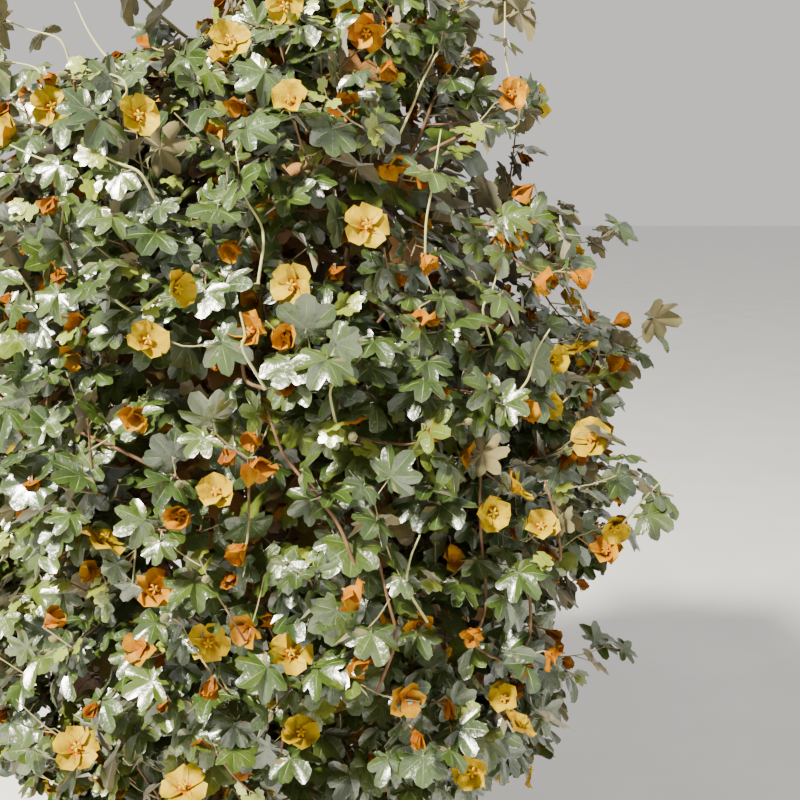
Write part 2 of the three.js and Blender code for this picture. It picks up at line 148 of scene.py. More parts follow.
# Tiers of masses on the side boughs and on the main boughs' own tips. turn is the azimuth from the main bough
TIER_FIELDS = ["name", "leaves", "turn", "tip_radius", "tip_height", "radius", "height", "lift"]
TIER_ROWS = [
    ["low", 0.16, -17, 176, 548, 300, 562, 10],
    ["middle", 0.42, 18, 200, 790, 360, 826, 50],
    ["high", 0.66, -15, 194, 1036, 358, 1100, 60],
    ["shoulder", 1, 6, 168, 1262, 290, 1370, 70],
]
TIERS = [dict(zip(TIER_FIELDS, row)) for row in TIER_ROWS]
TIER_STAGGER = 110
TIER_SEED = 101
MASS_TURN = 1.3
AZIMUTH_SWAY = 6
HEIGHT_SWAY = 24
STEM_REACH = 0.9
MASS_SEED = 1000
TOP_MASSES = 3
TOP_RADIUS = 128
TOP_HEIGHT = 1672
TOP_STEP = 16
TOP_TARGET = (CROWN_TOP - 60, 0.5)
TOP_TIP_RADIUS = 50
TOP_SIDE_RADIUS = 88
TOP_TIP_HEIGHT = 1560
TOP_TIP_STEP = 20
TOP_LEAVES_AT = [1, 0.7, 0.8]
TOP_FIRST_AZIMUTH = 75
TOP_SEED = 1900

# Long shoots that stand out of the crown, by the place of their tips
LONG_SHOOT_TIPS = [
    (646, -90, 1000),
    (372, -96, 1770),
    (196, -150, 1850),
    (-186, -190, 1790),
    (-402, -110, 1690),
    (-240, 260, 1750),
    (280, 248, 1790),
    (-610, 60, 1150),
    (60, 540, 1010),
]

# Twigs
STEM_RADII = [4.4, 4.4, 4, 3.4, 2.4]
STEM_NECK = 8
STEM_BEND = 0.35
TWIG_RADII = [3.2, 2.8, 1.9]
SIDE_TWIGS = 5
FIRST_SIDE_TWIG = 0.14
SIDE_TWIGS_OVER = 0.7
SIDE_TWIG_SWAY = 0.05
SIDE_TWIG_TURN = 40
LONG_SHOOT_FOOT = 0.6
TWIG_ANGLE = 56
TWIG_LIFT = 0.35
TWIG_MARK = 0.6
LAST_TWIG = 0.97
FINE_TWIG_TURN = 90
STEP_START = 0.3
STEP_SWAY = 0.6
GOLDEN_ANGLE = 137.508
TWIG_SIDES = 6
FINE_TWIG_SIDES = 4
COARSE_PIECES = 3
FINE_PIECES = 2
SHOOT_PIECES = 5

# Twigs of three sizes. One that doesn't fit is shortened. The finer ones pick the turn that leads to the
# emptiest part of their mass. open is the share that goes missing where the crown stands open
COARSE = {
    "length": 290, "shortest": 70, "shorten_by": 0.86, "samples": 6,
    "cell_margin": 1.2 + TWIG_RADII[0], "slack": 0.92, "limb_margin": 15,
}
FINE = {
    "length": 215, "shortest": 60, "shorten_by": 0.82, "samples": 4,
    "cell_margin": -12, "slack": 0.985, "limb_margin": 5,
    "spacing": 62, "first": 0.1, "radii": [2.0, 1.6, 1.1], "turns": 4, "open": 0.6, "seed": 61,
}
SPUR = dict(FINE, length=112, shortest=36, spacing=44, first=0.3, turns=3, open=0.76, seed=67)
SPUR["radii"] = [1.3, 1.1, 0.8]
GAP_TARGETS = 1400
GAP_HEIGHTS = (CROWN_FOOT + 60, CROWN_TOP - 50)
GAP_SITES = (0.5, 1)
GAP_STEP = 0.7548777
GAP_REACH = 0.93
GAP_WIDTH = 52
GAP_OPENNESS = 0.2
LONG_TWIG_BONUS = 0.15
TWIG_SHARES = (0.72, 1.05)
SHARE_AT_TIP = 0.75
SHOOT_SAG = 0.06

# Leaves of real size, by the length from the stalk's end to the tip
LEAF_SPACING = 25.5
SHADED_SPACING = 31
LEAF_LENGTHS = (26, 46)
LEAF_SLACK = 1.045
LEAF_CELL_MARGIN = -22
LEAF_LIMB_MARGIN = 2
LEAF_CORNERS = [(0, 0), (0, 1), (0.8, 0.4), (-0.8, 0.4)]
LONG_TWIG = 150
FIRST_LEAF = 0.3
LAST_LEAF = 0.98
TIP_LEAF = 0.985
LEAF_STEP_START = 0.7
LEAF_TURN = 50
PETIOLE = (16, 36)
YOUNG_PETIOLE = 0.4
YOUNG_LENGTHS = (12, 21)
LENGTH_POWER = 0.6
LEAF_MIDDLE = 0.4
LEAF_STALK_RADII = [0.9, 0.65]
LEAF_STALK_SIDES = 3
OUTER_SHARE = 0.79
INNER_SHARE = 0.62
SHADED_SHARE = 0.7
OPEN_TO_LIGHT = 0.3
INNER_LEAF_GROWTH = 1.1
LEAF_SEED = 777

# Weights of the directions that a leaf takes. Its stalk: along the twig, sideways, outward, up. Its blade:
# along the stalk, outward, up, any way. Its face: up, outward, any way
STALK_WEIGHTS = (0.4, 0.8, 0.35, 0.15)
TIP_STALK_WEIGHTS = (1.0, 0.8, 0.35, 0.15)
BLADE_WEIGHTS = (0.6, 0.45, -0.45, 0.9)
FACE_WEIGHTS = (0.6, 0.85, 1.3)

# Flowers. The ends are shares of the kinds. More of the sites flower at the sides and at the back. In front,
# open and ageing ones that the photograph doesn't show are faded and stand further in
FLOWER_RADII = {"fresh": (27, 33), "ageing": (25, 31), "faded": (22, 28), "withered": (21, 29)}
FLOWER_LIFT = {"fresh": 0.25, "ageing": -0.1, "withered": -0.7, "bud": 0.5}
FLOWER_KINDS = ["fresh", "ageing", "withered", "bud", None]
FLOWER_ENDS = [0.08, 0.2, 0.52, 0.58]
AWAY_SHARE = 0.74
SIDEWAYS = 0.3
TO_CAMERA = 0.45
FADED_DEPTH = 24
FLOWERING_SHARE = 0.46
FLOWERING_PART = (0.4, 0.9)
FLOWER_SPACING = 38
FLOWER_STALKS = (14, 30)
FLOWER_STALK_RADII = [1.1, 1.3, 2.2]
FLOWER_STALK_SIDES = 4
LONGEST_STALK = 55
CALYX = 4
BUD_RADII = (4.5, 8)
BUD_HEIGHTS = (0, 0.5, 1.3, 2.1, 2.6)
BUD_WIDTHS = (0.45, 0.9, 1, 0.6, 0.1)
BUD_SIDES = 6
FLOWER_SEED = 4242

# Weights of outward, up and any way for a flower's stalk. For its face they are 1, the lift of its kind and
# the sway
FLOWER_STALK_WEIGHTS = (1, 0.4, 1.2)
FLOWER_SWAY = 0.9

# Room without leaves round a flower: before its face, and on its way to the key light
CLEAR_DEPTHS = (-10, 60)
CLEAR_RADIUS = 12
OPEN_CLEAR_RADIUS = 22
FACING_CLEAR_RADIUS = 24
CLEAR_LEAF_SHARE = 0.17
LIT_REACH = 240
LIT_WIDTH = 34

# How the photograph's flowers and shoots find their twigs. The front of the crown is the nearest twig within
# some pixels, and ten pixels aside count as much as 45 mm behind. A root at which a shoot would have to turn
# counts as further away, by 45 mm for a right angle
FRONT_PIXELS = 60
USUAL_FRONT = 1100
PIXELS_ASIDE = 10
MILLIMETRES_BEHIND = 45
SHOOT_FRONT_PIXELS = 45
TURN_COST = 45
SHOOT_SITES = (0.4, 0.97)
FLOWER_SITES = (0.4, 0.7, 0.97)

# Loose shoots that break the crown's outline. The weights are those of outward, up and any way
LOOSE_WEIGHTS = (0.8, 0.5, 1.3)
LOOSE_LIFT = 0.25
LOOSE_EVERY = 6
LOOSE_LENGTHS = (55, 110)
LOOSE_REACH = 0.84
LOOSE_SLACK = 1.2
LOOSE_RADII = [1.2, 1.0, 0.8]
LOOSE_SPACING = 26
LOOSE_SEED = 71
BOX_MARGIN = 12


# Small vector tools

def unit(v):
    return v / np.linalg.norm(v, axis=-1, keepdims=True)


def mix(a, b, t):
    return a + (b - a) * t


def blend(weights, *ways):
    """The sum of several directions, each with its weight."""
    return sum(weight * way for weight, way in zip(weights, ways))


def polar(azimuth, radius, height):
    turn = math.radians(azimuth)
    return np.array([math.cos(turn) * radius, math.sin(turn) * radius, float(height)])


def rotated(v, axis, degrees):
    turn = math.radians(degrees)
    return (
        v * math.cos(turn)
        + np.cross(axis, v) * math.sin(turn)
        + axis * np.dot(axis, v) * (1 - math.cos(turn))
    )


def random_from(seed):
    """A function that draws numbers from 0 to 1, the same ones for the same seed."""
    state = [seed]

    def draw():
        state[0] = state[0] * RANDOM_FACTOR % RANDOM_PRIME
        return state[0] / RANDOM_PRIME

    draw()
    return draw


def bezier_line(p0, p1, p2, p3, pieces):
    t = np.linspace(0, 1, pieces + 1)[:, None]
    u = 1 - t
    return list(u**3 * p0 + 3 * u**2 * t * p1 + 3 * u * t**2 * p2 + t**3 * p3)


def along(line, t):
    place = min(t * (len(line) - 1), len(line) - 1.000001)
    i = int(place)
    return mix(line[i], line[i + 1], place - i)


def heading(line, t):
    i = min(int(t * (len(line) - 1)), len(line) - 2)
    return unit(line[i + 1] - line[i])


def samples(line, count):
    return np.array([along(line, (i + 1) / count) for i in range(count)])


def side_of(direction):
    across = np.array([1.0, 0, 0]) if abs(direction[2]) > 0.9 else UP
    return unit(np.cross(direction, across))


def line_length(line):
    return sum(np.linalg.norm(b - a) for a, b in zip(line, line[1:]))


def sagging(start, end):
    """A line of three points that hangs a little below the straight one."""
    return [start, mix(start, end, 0.5) - UP * SHOOT_SAG * np.linalg.norm(end - start), end]


def sway_from(random):
    return np.array([random(), random(), random()]) - 0.5


def spread_radii(line, radii):
    """The radii of a short list, spread evenly over the points of a line."""
    return np.interp(np.linspace(0, 1, len(line)), np.linspace(0, 1, len(radii)), radii)


# The crown's outline

def crown_axis(height):
    return CROWN_LEAN * (height - CROWN_FOOT) / (CROWN_TOP - CROWN_FOOT)


def crown_radius(azimuth, height):
    azimuth = np.asarray(azimuth, dtype=float)
    height = np.asarray(height, dtype=float)
    below = height < CROWN_WAIST
    reach = np.where(below, CROWN_WAIST - CROWN_FOOT, CROWN_TOP - CROWN_WAIST)
    power = np.where(below, POWER_BELOW, POWER_ABOVE)
    share = np.minimum(1, np.abs(height - CROWN_WAIST) / reach)
    smooth = CROWN_RADIUS * (1 - share**power) ** (1 / power)
    turn = np.radians(azimuth)
    flat = np.hypot(np.cos(turn), np.sin(turn) / CROWN_DEPTH_SHARE)
    lumps = 1.0
    for share_of_radius, turns, climb, start in LUMPS:
        lumps = lumps + share_of_radius * np.sin(np.radians(turns * azimuth + climb * height + start))
    turned = (azimuth - DIP["azimuth"] + 540) % 360 - 180
    across = turned / DIP["spread_degrees"]
    upward = (height - DIP["height"]) / DIP["spread_height"]
    return np.maximum(0, smooth / flat * lumps - DIP["depth"] * np.exp(-(across**2) - upward**2))


def crown_point(azimuth, height, share):
    point = polar(azimuth, float(crown_radius(azimuth, height)) * share, height)
    point[0] += crown_axis(height)
    return point


def in_crown(points, slack):
    x = points[..., 0] - crown_axis(points[..., 2])
    azimuth = (np.degrees(np.arctan2(points[..., 1], x)) + 360) % 360
    inside = np.hypot(x, points[..., 1]) < crown_radius(azimuth, points[..., 2]) * slack
    return inside & (points[..., 2] > LOWEST_LEAF)


def deep_in_crown(point, share):
    """Whether a point lies within that share of the crown's radius and well below its surface."""
    return bool(in_crown(point, share) and in_crown(point + COVER * UP, 1))


def openness(point):
    """How far a point lies in one of the open parts of the crown, from 0 to 1."""
    most = 0.0
    for part in OPEN_PARTS:
        outward = np.clip((point[0] * part["sign"] - part["from"]) / part["over"], 0, 1)
        upward = np.clip((point[2] - part["height"]) / part["over"], 0, 1)
        most = max(most, float(outward * upward) * part["share"])
    return most


def outward_from_axis(points):
    flat = points * np.array([1.0, 1.0, 0.0])
    flat[..., 0] -= crown_axis(points[..., 2])
    return unit(flat)


# Limbs

def limb(name, line, radii):
    taper = [mix(radii[0], radii[1], i / (len(line) - 1)) for i in range(len(line))]
    return {"name": name, "line": line, "radii": taper}


def trunk_limb():
    foot = np.array([0, 0, SOIL_TOP + CLEARANCE])
    top = np.array([TRUNK_LEAN, 0.0, TRUNK_TOP])
    bend = mix(foot[2], top[2], TRUNK_BEND)
    line = [foot, foot + FLARE_TOP * UP] + bezier_line(
        foot + STRAIGHT_TOP * UP,
        np.array([-TRUNK_LEAN, TRUNK_LEAN, bend]),
        np.array([0.0, TRUNK_LEAN, mix(bend, top[2], 0.5)]),
        top,
        3,
    )
    return {"name": "trunk", "line": line, "radii": [TRUNK_RADIUS * share for share in TRUNK_TAPER]}


def bough_azimuth(index):
    return FIRST_AZIMUTH + index * 360 / MAIN_BOUGHS


def main_bough(index, trunk):
    azimuth = bough_azimuth(index)
    tier = TIERS[-1]
    start = along(trunk["line"], (FORK_HEIGHTS[index] - SOIL_TOP) / (TRUNK_TOP - SOIL_TOP))
    elbow = polar(azimuth, BOUGH_SPREAD, start[2] + BOUGH_RISE)
    neck_height = mix(start[2], tier["tip_height"], BOUGH_NECK)
    neck = polar(azimuth + BOUGH_NECK_TURN, BOUGH_SPREAD, neck_height)
    tip = polar(azimuth + tier["turn"], tier["tip_radius"], tier["tip_height"] + TIER_STAGGER * (index % 2))
    return limb(f"main_bough_{index + 1}", bezier_line(start, elbow, neck, tip, 6), MAIN_RADII)


def side_bough(index, main, tier):
    start = along(main["line"], tier["leaves"])
    height = tier["tip_height"] + TIER_STAGGER * (index % 2)
    tip = polar(bough_azimuth(index) + tier["turn"], tier["tip_radius"], height)
    line = [start, mix(start, tip, 0.5) - SIDE_SAG * UP, tip]
    return limb(f"bough_{index + 1}_{tier['name']}", line, SIDE_RADII)


def leader_bough(trunk):
    direction = heading(trunk["line"], 1)
    start = along(trunk["line"], 1) + direction * CLEARANCE * LEADER_GAP
    neck = start + direction * STEM_NECK
    tip = polar(TOP_FIRST_AZIMUTH, TOP_TIP_RADIUS, TOP_TIP_HEIGHT)
    low = neck + direction * LEADER_RISE
    high = np.array([-TOP_TIP_RADIUS, -TOP_TIP_RADIUS / 2, mix(start[2], tip[2], LEADER_BEND)])
    return limb("leader", [start] + bezier_line(neck, low, high, tip, 5), LEADER_RADII)


def top_bough(index, leader):
    start = along(leader["line"], TOP_LEAVES_AT[index])
    azimuth = TOP_FIRST_AZIMUTH + index * 360 / TOP_MASSES
    tip = polar(azimuth, TOP_SIDE_RADIUS, TOP_TIP_HEIGHT - TOP_TIP_STEP * index)
    return limb(f"bough_top_{index + 1}", [start, mix(start, tip, 0.5) - SIDE_SAG * UP, tip], SIDE_RADII)


def all_limbs():
    trunk = trunk_limb()
    main = [main_bough(i, trunk) for i in range(MAIN_BOUGHS)]
    side = [[side_bough(i, main[i], tier) for i in range(MAIN_BOUGHS)] for tier in TIERS[:-1]]
    leader = leader_bough(trunk)
    top = [None] + [top_bough(i, leader) for i in range(1, TOP_MASSES)]
    return trunk, main, side, leader, top


# Masses: each keeps to the part of the crown that is nearest to its own centre

def all_masses(main, side, leader, top):
    masses = []
    for level, tier in enumerate(TIERS):
        for index in range(MAIN_BOUGHS):
            random = random_from(TIER_SEED + level * 17 + index * 5)
            azimuth = bough_azimuth(index) + tier["turn"] * MASS_TURN + AZIMUTH_SWAY * (random() - 0.5)
            height = tier["height"] + TIER_STAGGER * (index % 2) + HEIGHT_SWAY * (random() - 0.5)
            centre = polar(azimuth, tier["radius"], height)
            centre[0] += crown_axis(height)
            masses.append({
                "name": f"foliage_{index + 1}_{tier['name']}",
                "bough": side[level][index] if level < len(TIERS) - 1 else main[index],
                "centre": centre,
                "target": crown_point(azimuth, height + tier["lift"], STEM_REACH),
                "seed": MASS_SEED + level * 100 + index * 7,
            })
    for index in range(TOP_MASSES):
        azimuth = TOP_FIRST_AZIMUTH + index * 360 / TOP_MASSES
        centre = polar(azimuth, TOP_RADIUS, TOP_HEIGHT + TOP_STEP * index)
        centre[0] += crown_axis(TOP_HEIGHT)
        masses.append({
            "name": f"foliage_top_{index + 1}",
            "bough": top[index] if index else leader,
            "centre": centre,
            "target": crown_point(azimuth, *TOP_TARGET),
            "seed": TOP_SEED + index * 7,
        })
    for mass in masses:
        others = np.array([other["centre"] for other in masses if other is not mass])
        mass["walls"] = unit(others - mass["centre"])
        mass["reach"] = np.sum((others + mass["centre"]) / 2 * mass["walls"], axis=1)
    return masses


def in_cell(points, mass, margin):
    return np.all(points @ mass["walls"].T - mass["reach"] < -margin, axis=-1)


def limb_segments(limbs):
    starts = np.array([p for one in limbs for p in one["line"][:-1]])
    ends = np.array([p for one in limbs for p in one["line"][1:]])
    radii = np.array([r for one in limbs for r in one["radii"][:-1]])
    return starts, ends, radii


def clear_of_limbs(points, segments, margin):
    starts, ends, radii = segments
    span = ends - starts
    offset = points[..., None, :] - starts
    share = np.clip(np.sum(offset * span, axis=-1) / np.sum(span * span, axis=-1), 0, 1)
    gap = np.linalg.norm(offset - share[..., None] * span, axis=-1)
    return np.all(gap > radii + margin, axis=-1)


def twig_line(parent, t, around, length):
    start = along(parent, t)
    direction = heading(parent, t)
    out = rotated(side_of(direction), direction, around)
    turn = math.radians(TWIG_ANGLE)
    direction = direction * math.cos(turn) + out * math.sin(turn)
    elbow = start + direction * length / 2
    direction = unit(direction + UP * TWIG_LIFT)
    return [start, elbow, elbow + direction * length / 2]


def fitted_twig(parent, t, around, size, mass, segments):
    """The longest twig of a size that keeps to its mass and clear of the limbs, and its length."""
    length = size["length"]
    while length > size["shortest"]:
        line = twig_line(parent, t, around, length)
        points = samples(line, size["samples"])
        inside = in_cell(points, mass, size["cell_margin"]) & in_crown(points, size["slack"])
        if inside.all() and clear_of_limbs(points, segments, size["limb_margin"]).all():
            return line, length
        length *= size["shorten_by"]
    return None, 0


def twig_of(line, radii, mass, **more):
    return dict({"line": line, "radii": radii, "mass": mass, "shoot": False}, **more)


def mass_twigs(mass, segments):
    random = random_from(mass["seed"])
    direction = heading(mass["bough"]["line"], 1)
    start = along(mass["bough"]["line"], 1) + direction * CLEARANCE
    neck = start + direction * STEM_NECK
    bend = neck + direction * np.linalg.norm(mass["target"] - neck) * STEM_BEND
    stem = [start] + bezier_line(neck, bend, mix(bend, mass["target"], 0.5), mass["target"], 3)
    twigs = [twig_of(stem, STEM_RADII, mass)]
    for i in range(SIDE_TWIGS):
        t = FIRST_SIDE_TWIG + SIDE_TWIGS_OVER * i / SIDE_TWIGS + SIDE_TWIG_SWAY * random()
        around = i * GOLDEN_ANGLE + SIDE_TWIG_TURN * random()
        line, _ = fitted_twig(stem, t, around, COARSE, mass, segments)
        if line:
            twigs.append(twig_of(line, TWIG_RADII, mass))
    for tip in LONG_SHOOT_TIPS:
        tip = np.array(tip, dtype=float)
        line = sagging(along(stem, LONG_SHOOT_FOOT), tip)
        if in_cell(samples(line, COARSE["samples"]), mass, COARSE["cell_margin"]).all():
            twigs.append(twig_of(line, TWIG_RADII, mass, shoot=True))
    return twigs


def nearest_mass(point, masses):
    centres = np.array([mass["centre"] for mass in masses])
    return masses[int(np.argmin(np.linalg.norm(centres - point, axis=1)))]


def twig_mark(line):
    return mix(line[1], line[2], TWIG_MARK)


def distance_to(places, point):
    return np.linalg.norm(np.array(places) - point, axis=1).min()


def roomiest_twig(parent, t, around, kind, mass, segments, taken):
    """Of a few twigs that turn different ways from one place, the one whose tip has the most room."""
    best = None
    most_room = 0
    for turn in range(kind["turns"]):
        angle = around + turn * 360 / kind["turns"]
        line, length = fitted_twig(parent, t, angle, kind, mass, segments)
        room = distance_to(taken, twig_mark(line)) + length * LONG_TWIG_BONUS if line else 0
        if room > most_room:
            best = line
            most_room = room
    return best


def finer_twigs(parents, kind, masses, segments, taken):
    random = random_from(kind["seed"])
    grown = []
    for parent in parents:
        length = line_length(parent["line"])
        count = max(1, round(length * (1 - kind["first"]) / kind["spacing"]))
        for i in range(count):
            step = i + STEP_START + STEP_SWAY * random()
            t = min(LAST_TWIG, kind["first"] + (1 - kind["first"]) * step / count)
            around = i * GOLDEN_ANGLE + FINE_TWIG_TURN * random()
            mass = parent["mass"] or nearest_mass(along(parent["line"], t), masses)
            share = mix(*TWIG_SHARES, random()) * mix(1, SHARE_AT_TIP, t)
            sized = dict(kind, length=kind["length"] * share)
            line = roomiest_twig(parent["line"], t, around, sized, mass, segments, taken)
            if line and random() > kind["open"] * openness(line[2]):
                taken.append(twig_mark(line))
                grown.append(twig_of(line, kind["radii"], mass))
    return grown


def gap_shoots(twigs, masses, segments):
    """Shoots that grow from the nearest twig to those parts of the crown's surface that no twig is near."""
    ends = [np.array([along(twig["line"], t) for t in GAP_SITES]) for twig in twigs]
    taken = np.concatenate(ends)
    owner = np.array([twig["mass"]["name"] for twig in twigs for _ in GAP_SITES])
    grown = []
    for i in range(GAP_TARGETS):
        height = mix(*GAP_HEIGHTS, (i * GAP_STEP) % 1)
        target = crown_point(i * GOLDEN_ANGLE, height, GAP_REACH)
        if distance_to(taken, target) < GAP_WIDTH or openness(target) > GAP_OPENNESS:
            continue
        mass = nearest_mass(target, masses)
        own = taken[owner == mass["name"]]
        start = own[int(np.argmin(np.linalg.norm(own - target, axis=1)))]
        line = sagging(start, target)
        if not clear_of_limbs(samples(line, 6), segments, FINE["limb_margin"]).all():
            continue
        grown.append(twig_of(line, FINE["radii"], mass))
        added = np.array([along(line, t) for t in GAP_SITES])
        taken = np.concatenate([taken, added])
        owner = np.append(owner, [mass["name"]] * len(GAP_SITES))
    return grown


def in_box(points):
    low = np.array(CAD_BOX[0]) / MM - BOX_MARGIN
    high = np.array(CAD_BOX[1]) / MM + BOX_MARGIN
    return np.all((points > low) & (points < high), axis=-1)


def loose_shoots(twigs):
    """Shoots that grow on from the tips of outer twigs and stand out of the crown."""
    random = random_from(LOOSE_SEED)
    grown = []
    for twig in twigs[::LOOSE_EVERY]:
        tip = twig["line"][-1]
        sway = sway_from(random)
        length = mix(*LOOSE_LENGTHS, random())
        if in_crown(tip, LOOSE_REACH):
            continue
        direction = unit(blend(LOOSE_WEIGHTS, outward_from_axis(tip), UP, sway))
        elbow = tip + direction * length / 2
        line = [tip, elbow, elbow + unit(direction + LOOSE_LIFT * UP) * length / 2]
        if in_crown(line[-1], LOOSE_SLACK) and in_box(np.array(line)).all():
            grown.append(twig_of(line, LOOSE_RADII, twig["mass"], shoot=True, spacing=LOOSE_SPACING))
    return grown


# Mesh tools: every part is gathered as arrays and joined into one mesh for each kind

def smooth_line(line, pieces):
    """A smooth curve through the points of a line, with that many pieces between each two."""
    points = [2 * line[0] - line[1]] + list(line) + [2 * line[-1] - line[-2]]
    result = []
    for i in range(1, len(points) - 2):
        a, b, c, d = points[i - 1:i + 3]
        square = 2 * a - 5 * b + 4 * c - d
        cube = 3 * b - a - 3 * c + d
        for step in range(pieces):
            t = step / pieces
            result.append(0.5 * (2 * b + (c - a) * t + square * t**2 + cube * t**3))
    return np.array(result + [line[-1]])


def ring_faces(count, sides):
    """Triangles between rings that follow each other in a list of points."""
    ring = np.arange(sides)
    following = (ring + 1) % sides
    faces = []
    for i in range(count - 1):
        a = ring + i * sides
        b = following + i * sides
        faces.append(np.stack([a, b, b + sides], axis=1))
        faces.append(np.stack([a, b + sides, a + sides], axis=1))
    return faces


def tube(line, radii, sides, relief=None):
    """A closed tube. relief(angles, run, radius) gives the change of radius round a ring."""
    line = np.asarray(line)
    count = len(line)
    directions = unit(np.gradient(line, axis=0))
    side = side_of(directions[0])
    angles = np.arange(sides) / sides * 2 * math.pi
    rings = []
    run = 0.0
    for i in range(count):
        side = unit(side - directions[i] * np.dot(side, directions[i]))
        across = np.cross(directions[i], side)
        radius = np.full(sides, float(radii[i]))
        if i:
            run += np.linalg.norm(line[i] - line[i - 1])
        if relief:
            radius = radius + relief(angles, run, radii[i])
        outward = np.cos(angles)[:, None] * side + np.sin(angles)[:, None] * across
        rings.append(line[i] + radius[:, None] * outward)
    points = np.concatenate(rings + [line[:1], line[-1:]])
    ring = np.arange(sides)
    following = (ring + 1) % sides
    last = (count - 1) * sides
    foot = np.full(sides, count * sides)
    faces = ring_faces(count, sides)
    faces.append(np.stack([foot, following, ring], axis=1))
    faces.append(np.stack([foot + 1, ring + last, following + last], axis=1))
    return points, np.concatenate(faces)


class Joined:
    """Vertices, triangles and material slots of many small meshes, in millimetres."""

    def __init__(self):
        self.points = []
        self.faces = []
        self.slots = []
        self.count = 0

    def add(self, points, faces, slots=0):
        self.points.append(points)
        self.faces.append(faces + self.count)
        self.slots.append(np.broadcast_to(slots, len(faces)))
        self.count += len(points)

    def add_copies(self, template, places, across, axis, face, size):
        """Copies of a template whose x, y and z lie along across, axis and face."""
        if not len(places):
            return
        points, faces, slots = template
        moved = (
            places[:, None]
            + size[:, None, None]
            * (
                points[None, :, 0, None] * across[:, None]
                + points[None, :, 1, None] * axis[:, None]
                + points[None, :, 2, None] * face[:, None]
            )
        )
        shift = np.arange(len(places))[:, None, None] * len(points)
        self.add(moved.reshape(-1, 3), (faces[None] + shift).reshape(-1, 3), np.tile(slots, len(places)))

    def piece(self, name, materials, slot, sharp=55):
        points = np.concatenate(self.points) * MM
        faces = np.concatenate(self.faces)
        mesh = bpy.data.meshes.new(name)
        mesh.vertices.add(len(points))
        mesh.vertices.foreach_set("co", points.astype(np.float32).ravel())
        mesh.loops.add(faces.size)
        mesh.loops.foreach_set("vertex_index", faces.astype(np.int32).ravel())
        mesh.polygons.add(len(faces))
        mesh.polygons.foreach_set("loop_start", np.arange(0, faces.size, 3, dtype=np.int32))
        mesh.polygons.foreach_set("material_index", np.concatenate(self.slots).astype(np.int32))
        mesh.update(calc_edges=True)
        mesh.shade_smooth()
        mesh.set_sharp_from_angle(angle=math.radians(sharp))
        for material in materials:
            mesh.materials.append(material)
        piece = bpy.data.objects.new(name, mesh)
        bpy.context.scene.collection.objects.link(piece)
        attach(piece, "root")
        return piece


# Materials

COAT_ROUGHNESS = 0.26
COLOUR_STOPS = (0.36, 0.66)
PATCH_DETAIL = 4
GRAIN_DETAIL = 3


def material(name, colours, scale, roughness, bump, grain_scale, specular=0.5, coat=0, sheen=0, depth=0.0006):
    """Two colours mixed by noise, with roughness and fine relief from noise as well."""
    made = bpy.data.materials.new(name)
    made.use_nodes = True
    nodes = made.node_tree.nodes
    shader = nodes["Principled BSDF"]
    place = nodes.new("ShaderNodeTexCoord")
    patches = nodes.new("ShaderNodeTexNoise")
    grain = nodes.new("ShaderNodeTexNoise")
    ramp = nodes.new("ShaderNodeValToRGB")
    gloss = nodes.new("ShaderNodeMapRange")
    relief = nodes.new("ShaderNodeBump")
    for stop, position, tone in zip(ramp.color_ramp.elements, COLOUR_STOPS, colours):
        stop.position = position
        stop.color = (*tone, 1)
    for node, socket, value in (
        (patches, "Scale", scale),
        (patches, "Detail", PATCH_DETAIL),
        (grain, "Scale", grain_scale),
        (grain, "Detail", GRAIN_DETAIL),
        (gloss, "To Min", roughness[0]),
        (gloss, "To Max", roughness[1]),
        (relief, "Strength", bump),
        (relief, "Distance", depth),
        (shader, "Specular IOR Level", specular),
        (shader, "Coat Weight", coat),
        (shader, "Coat Roughness", COAT_ROUGHNESS),
        (shader, "Sheen Weight", sheen),
    ):
        node.inputs[socket].default_value = value
    for source, output, target, socket in (
        (place, "Object", patches, "Vector"),
        (place, "Object", grain, "Vector"),
        (patches, "Fac", ramp, "Fac"),
        (ramp, "Color", shader, "Base Color"),
        (grain, "Fac", gloss, "Value"),
        (gloss, "Result", shader, "Roughness"),
        (grain, "Fac", relief, "Height"),
        (relief, "Normal", shader, "Normal"),
    ):
        made.node_tree.links.new(source.outputs[output], target.inputs[socket])
    return made


def leaf_material(name, colours):
    return material(name, colours, 24, (0.22, 0.38), 0.9, 150, specular=0.95, coat=1, depth=0.0018)


def petal_material(name, colours):
    return material(name, colours, 55, (0.32, 0.56), 0.8, 190, specular=0.1, depth=0.0013)


# The colours, the noise scale of the colours, the ends of the roughness, and the relief's strength and scale
VEIN = material("leaf_vein", [(0.17, 0.23, 0.08), (0.23, 0.29, 0.11)], 30, (0.45, 0.6), 0.2, 500)
FELT = material(
    "leaf_felt", [(0.115, 0.1, 0.038), (0.165, 0.135, 0.054)],
    60, (0.8, 0.95), 0.5, 900, specular=0.2, sheen=0.4,
)
BUD_FELT = material(
    "bud_felt", [(0.12, 0.125, 0.04), (0.19, 0.16, 0.05)],
    60, (0.75, 0.9), 0.5, 700, specular=0.2, sheen=0.4,
)
TWIG_FELT = material(
    "twig_felt", [(0.2, 0.18, 0.07), (0.31, 0.25, 0.11)],
    60, (0.7, 0.9), 0.5, 700, specular=0.2, sheen=0.3,
)
BARK = material(
    "bark", [(0.11, 0.062, 0.036), (0.22, 0.135, 0.08)],
    60, (0.75, 0.95), 0.9, 260, specular=0.25,
)
TWIG_BARK = material(
    "twig_bark", [(0.1, 0.052, 0.025), (0.18, 0.1, 0.046)],
    70, (0.6, 0.85), 0.6, 400, specular=0.3,
)
YOUNG_BARK = material(
    "young_shoot", [(0.33, 0.35, 0.11), (0.43, 0.4, 0.16)],
    60, (0.5, 0.7), 0.4, 700, specular=0.3, sheen=0.3,
)
CLAY = material(
    "clay", [(0.25, 0.072, 0.026), (0.31, 0.108, 0.046)],
    15, (0.72, 0.92), 0.5, 300, specular=0.3,
)
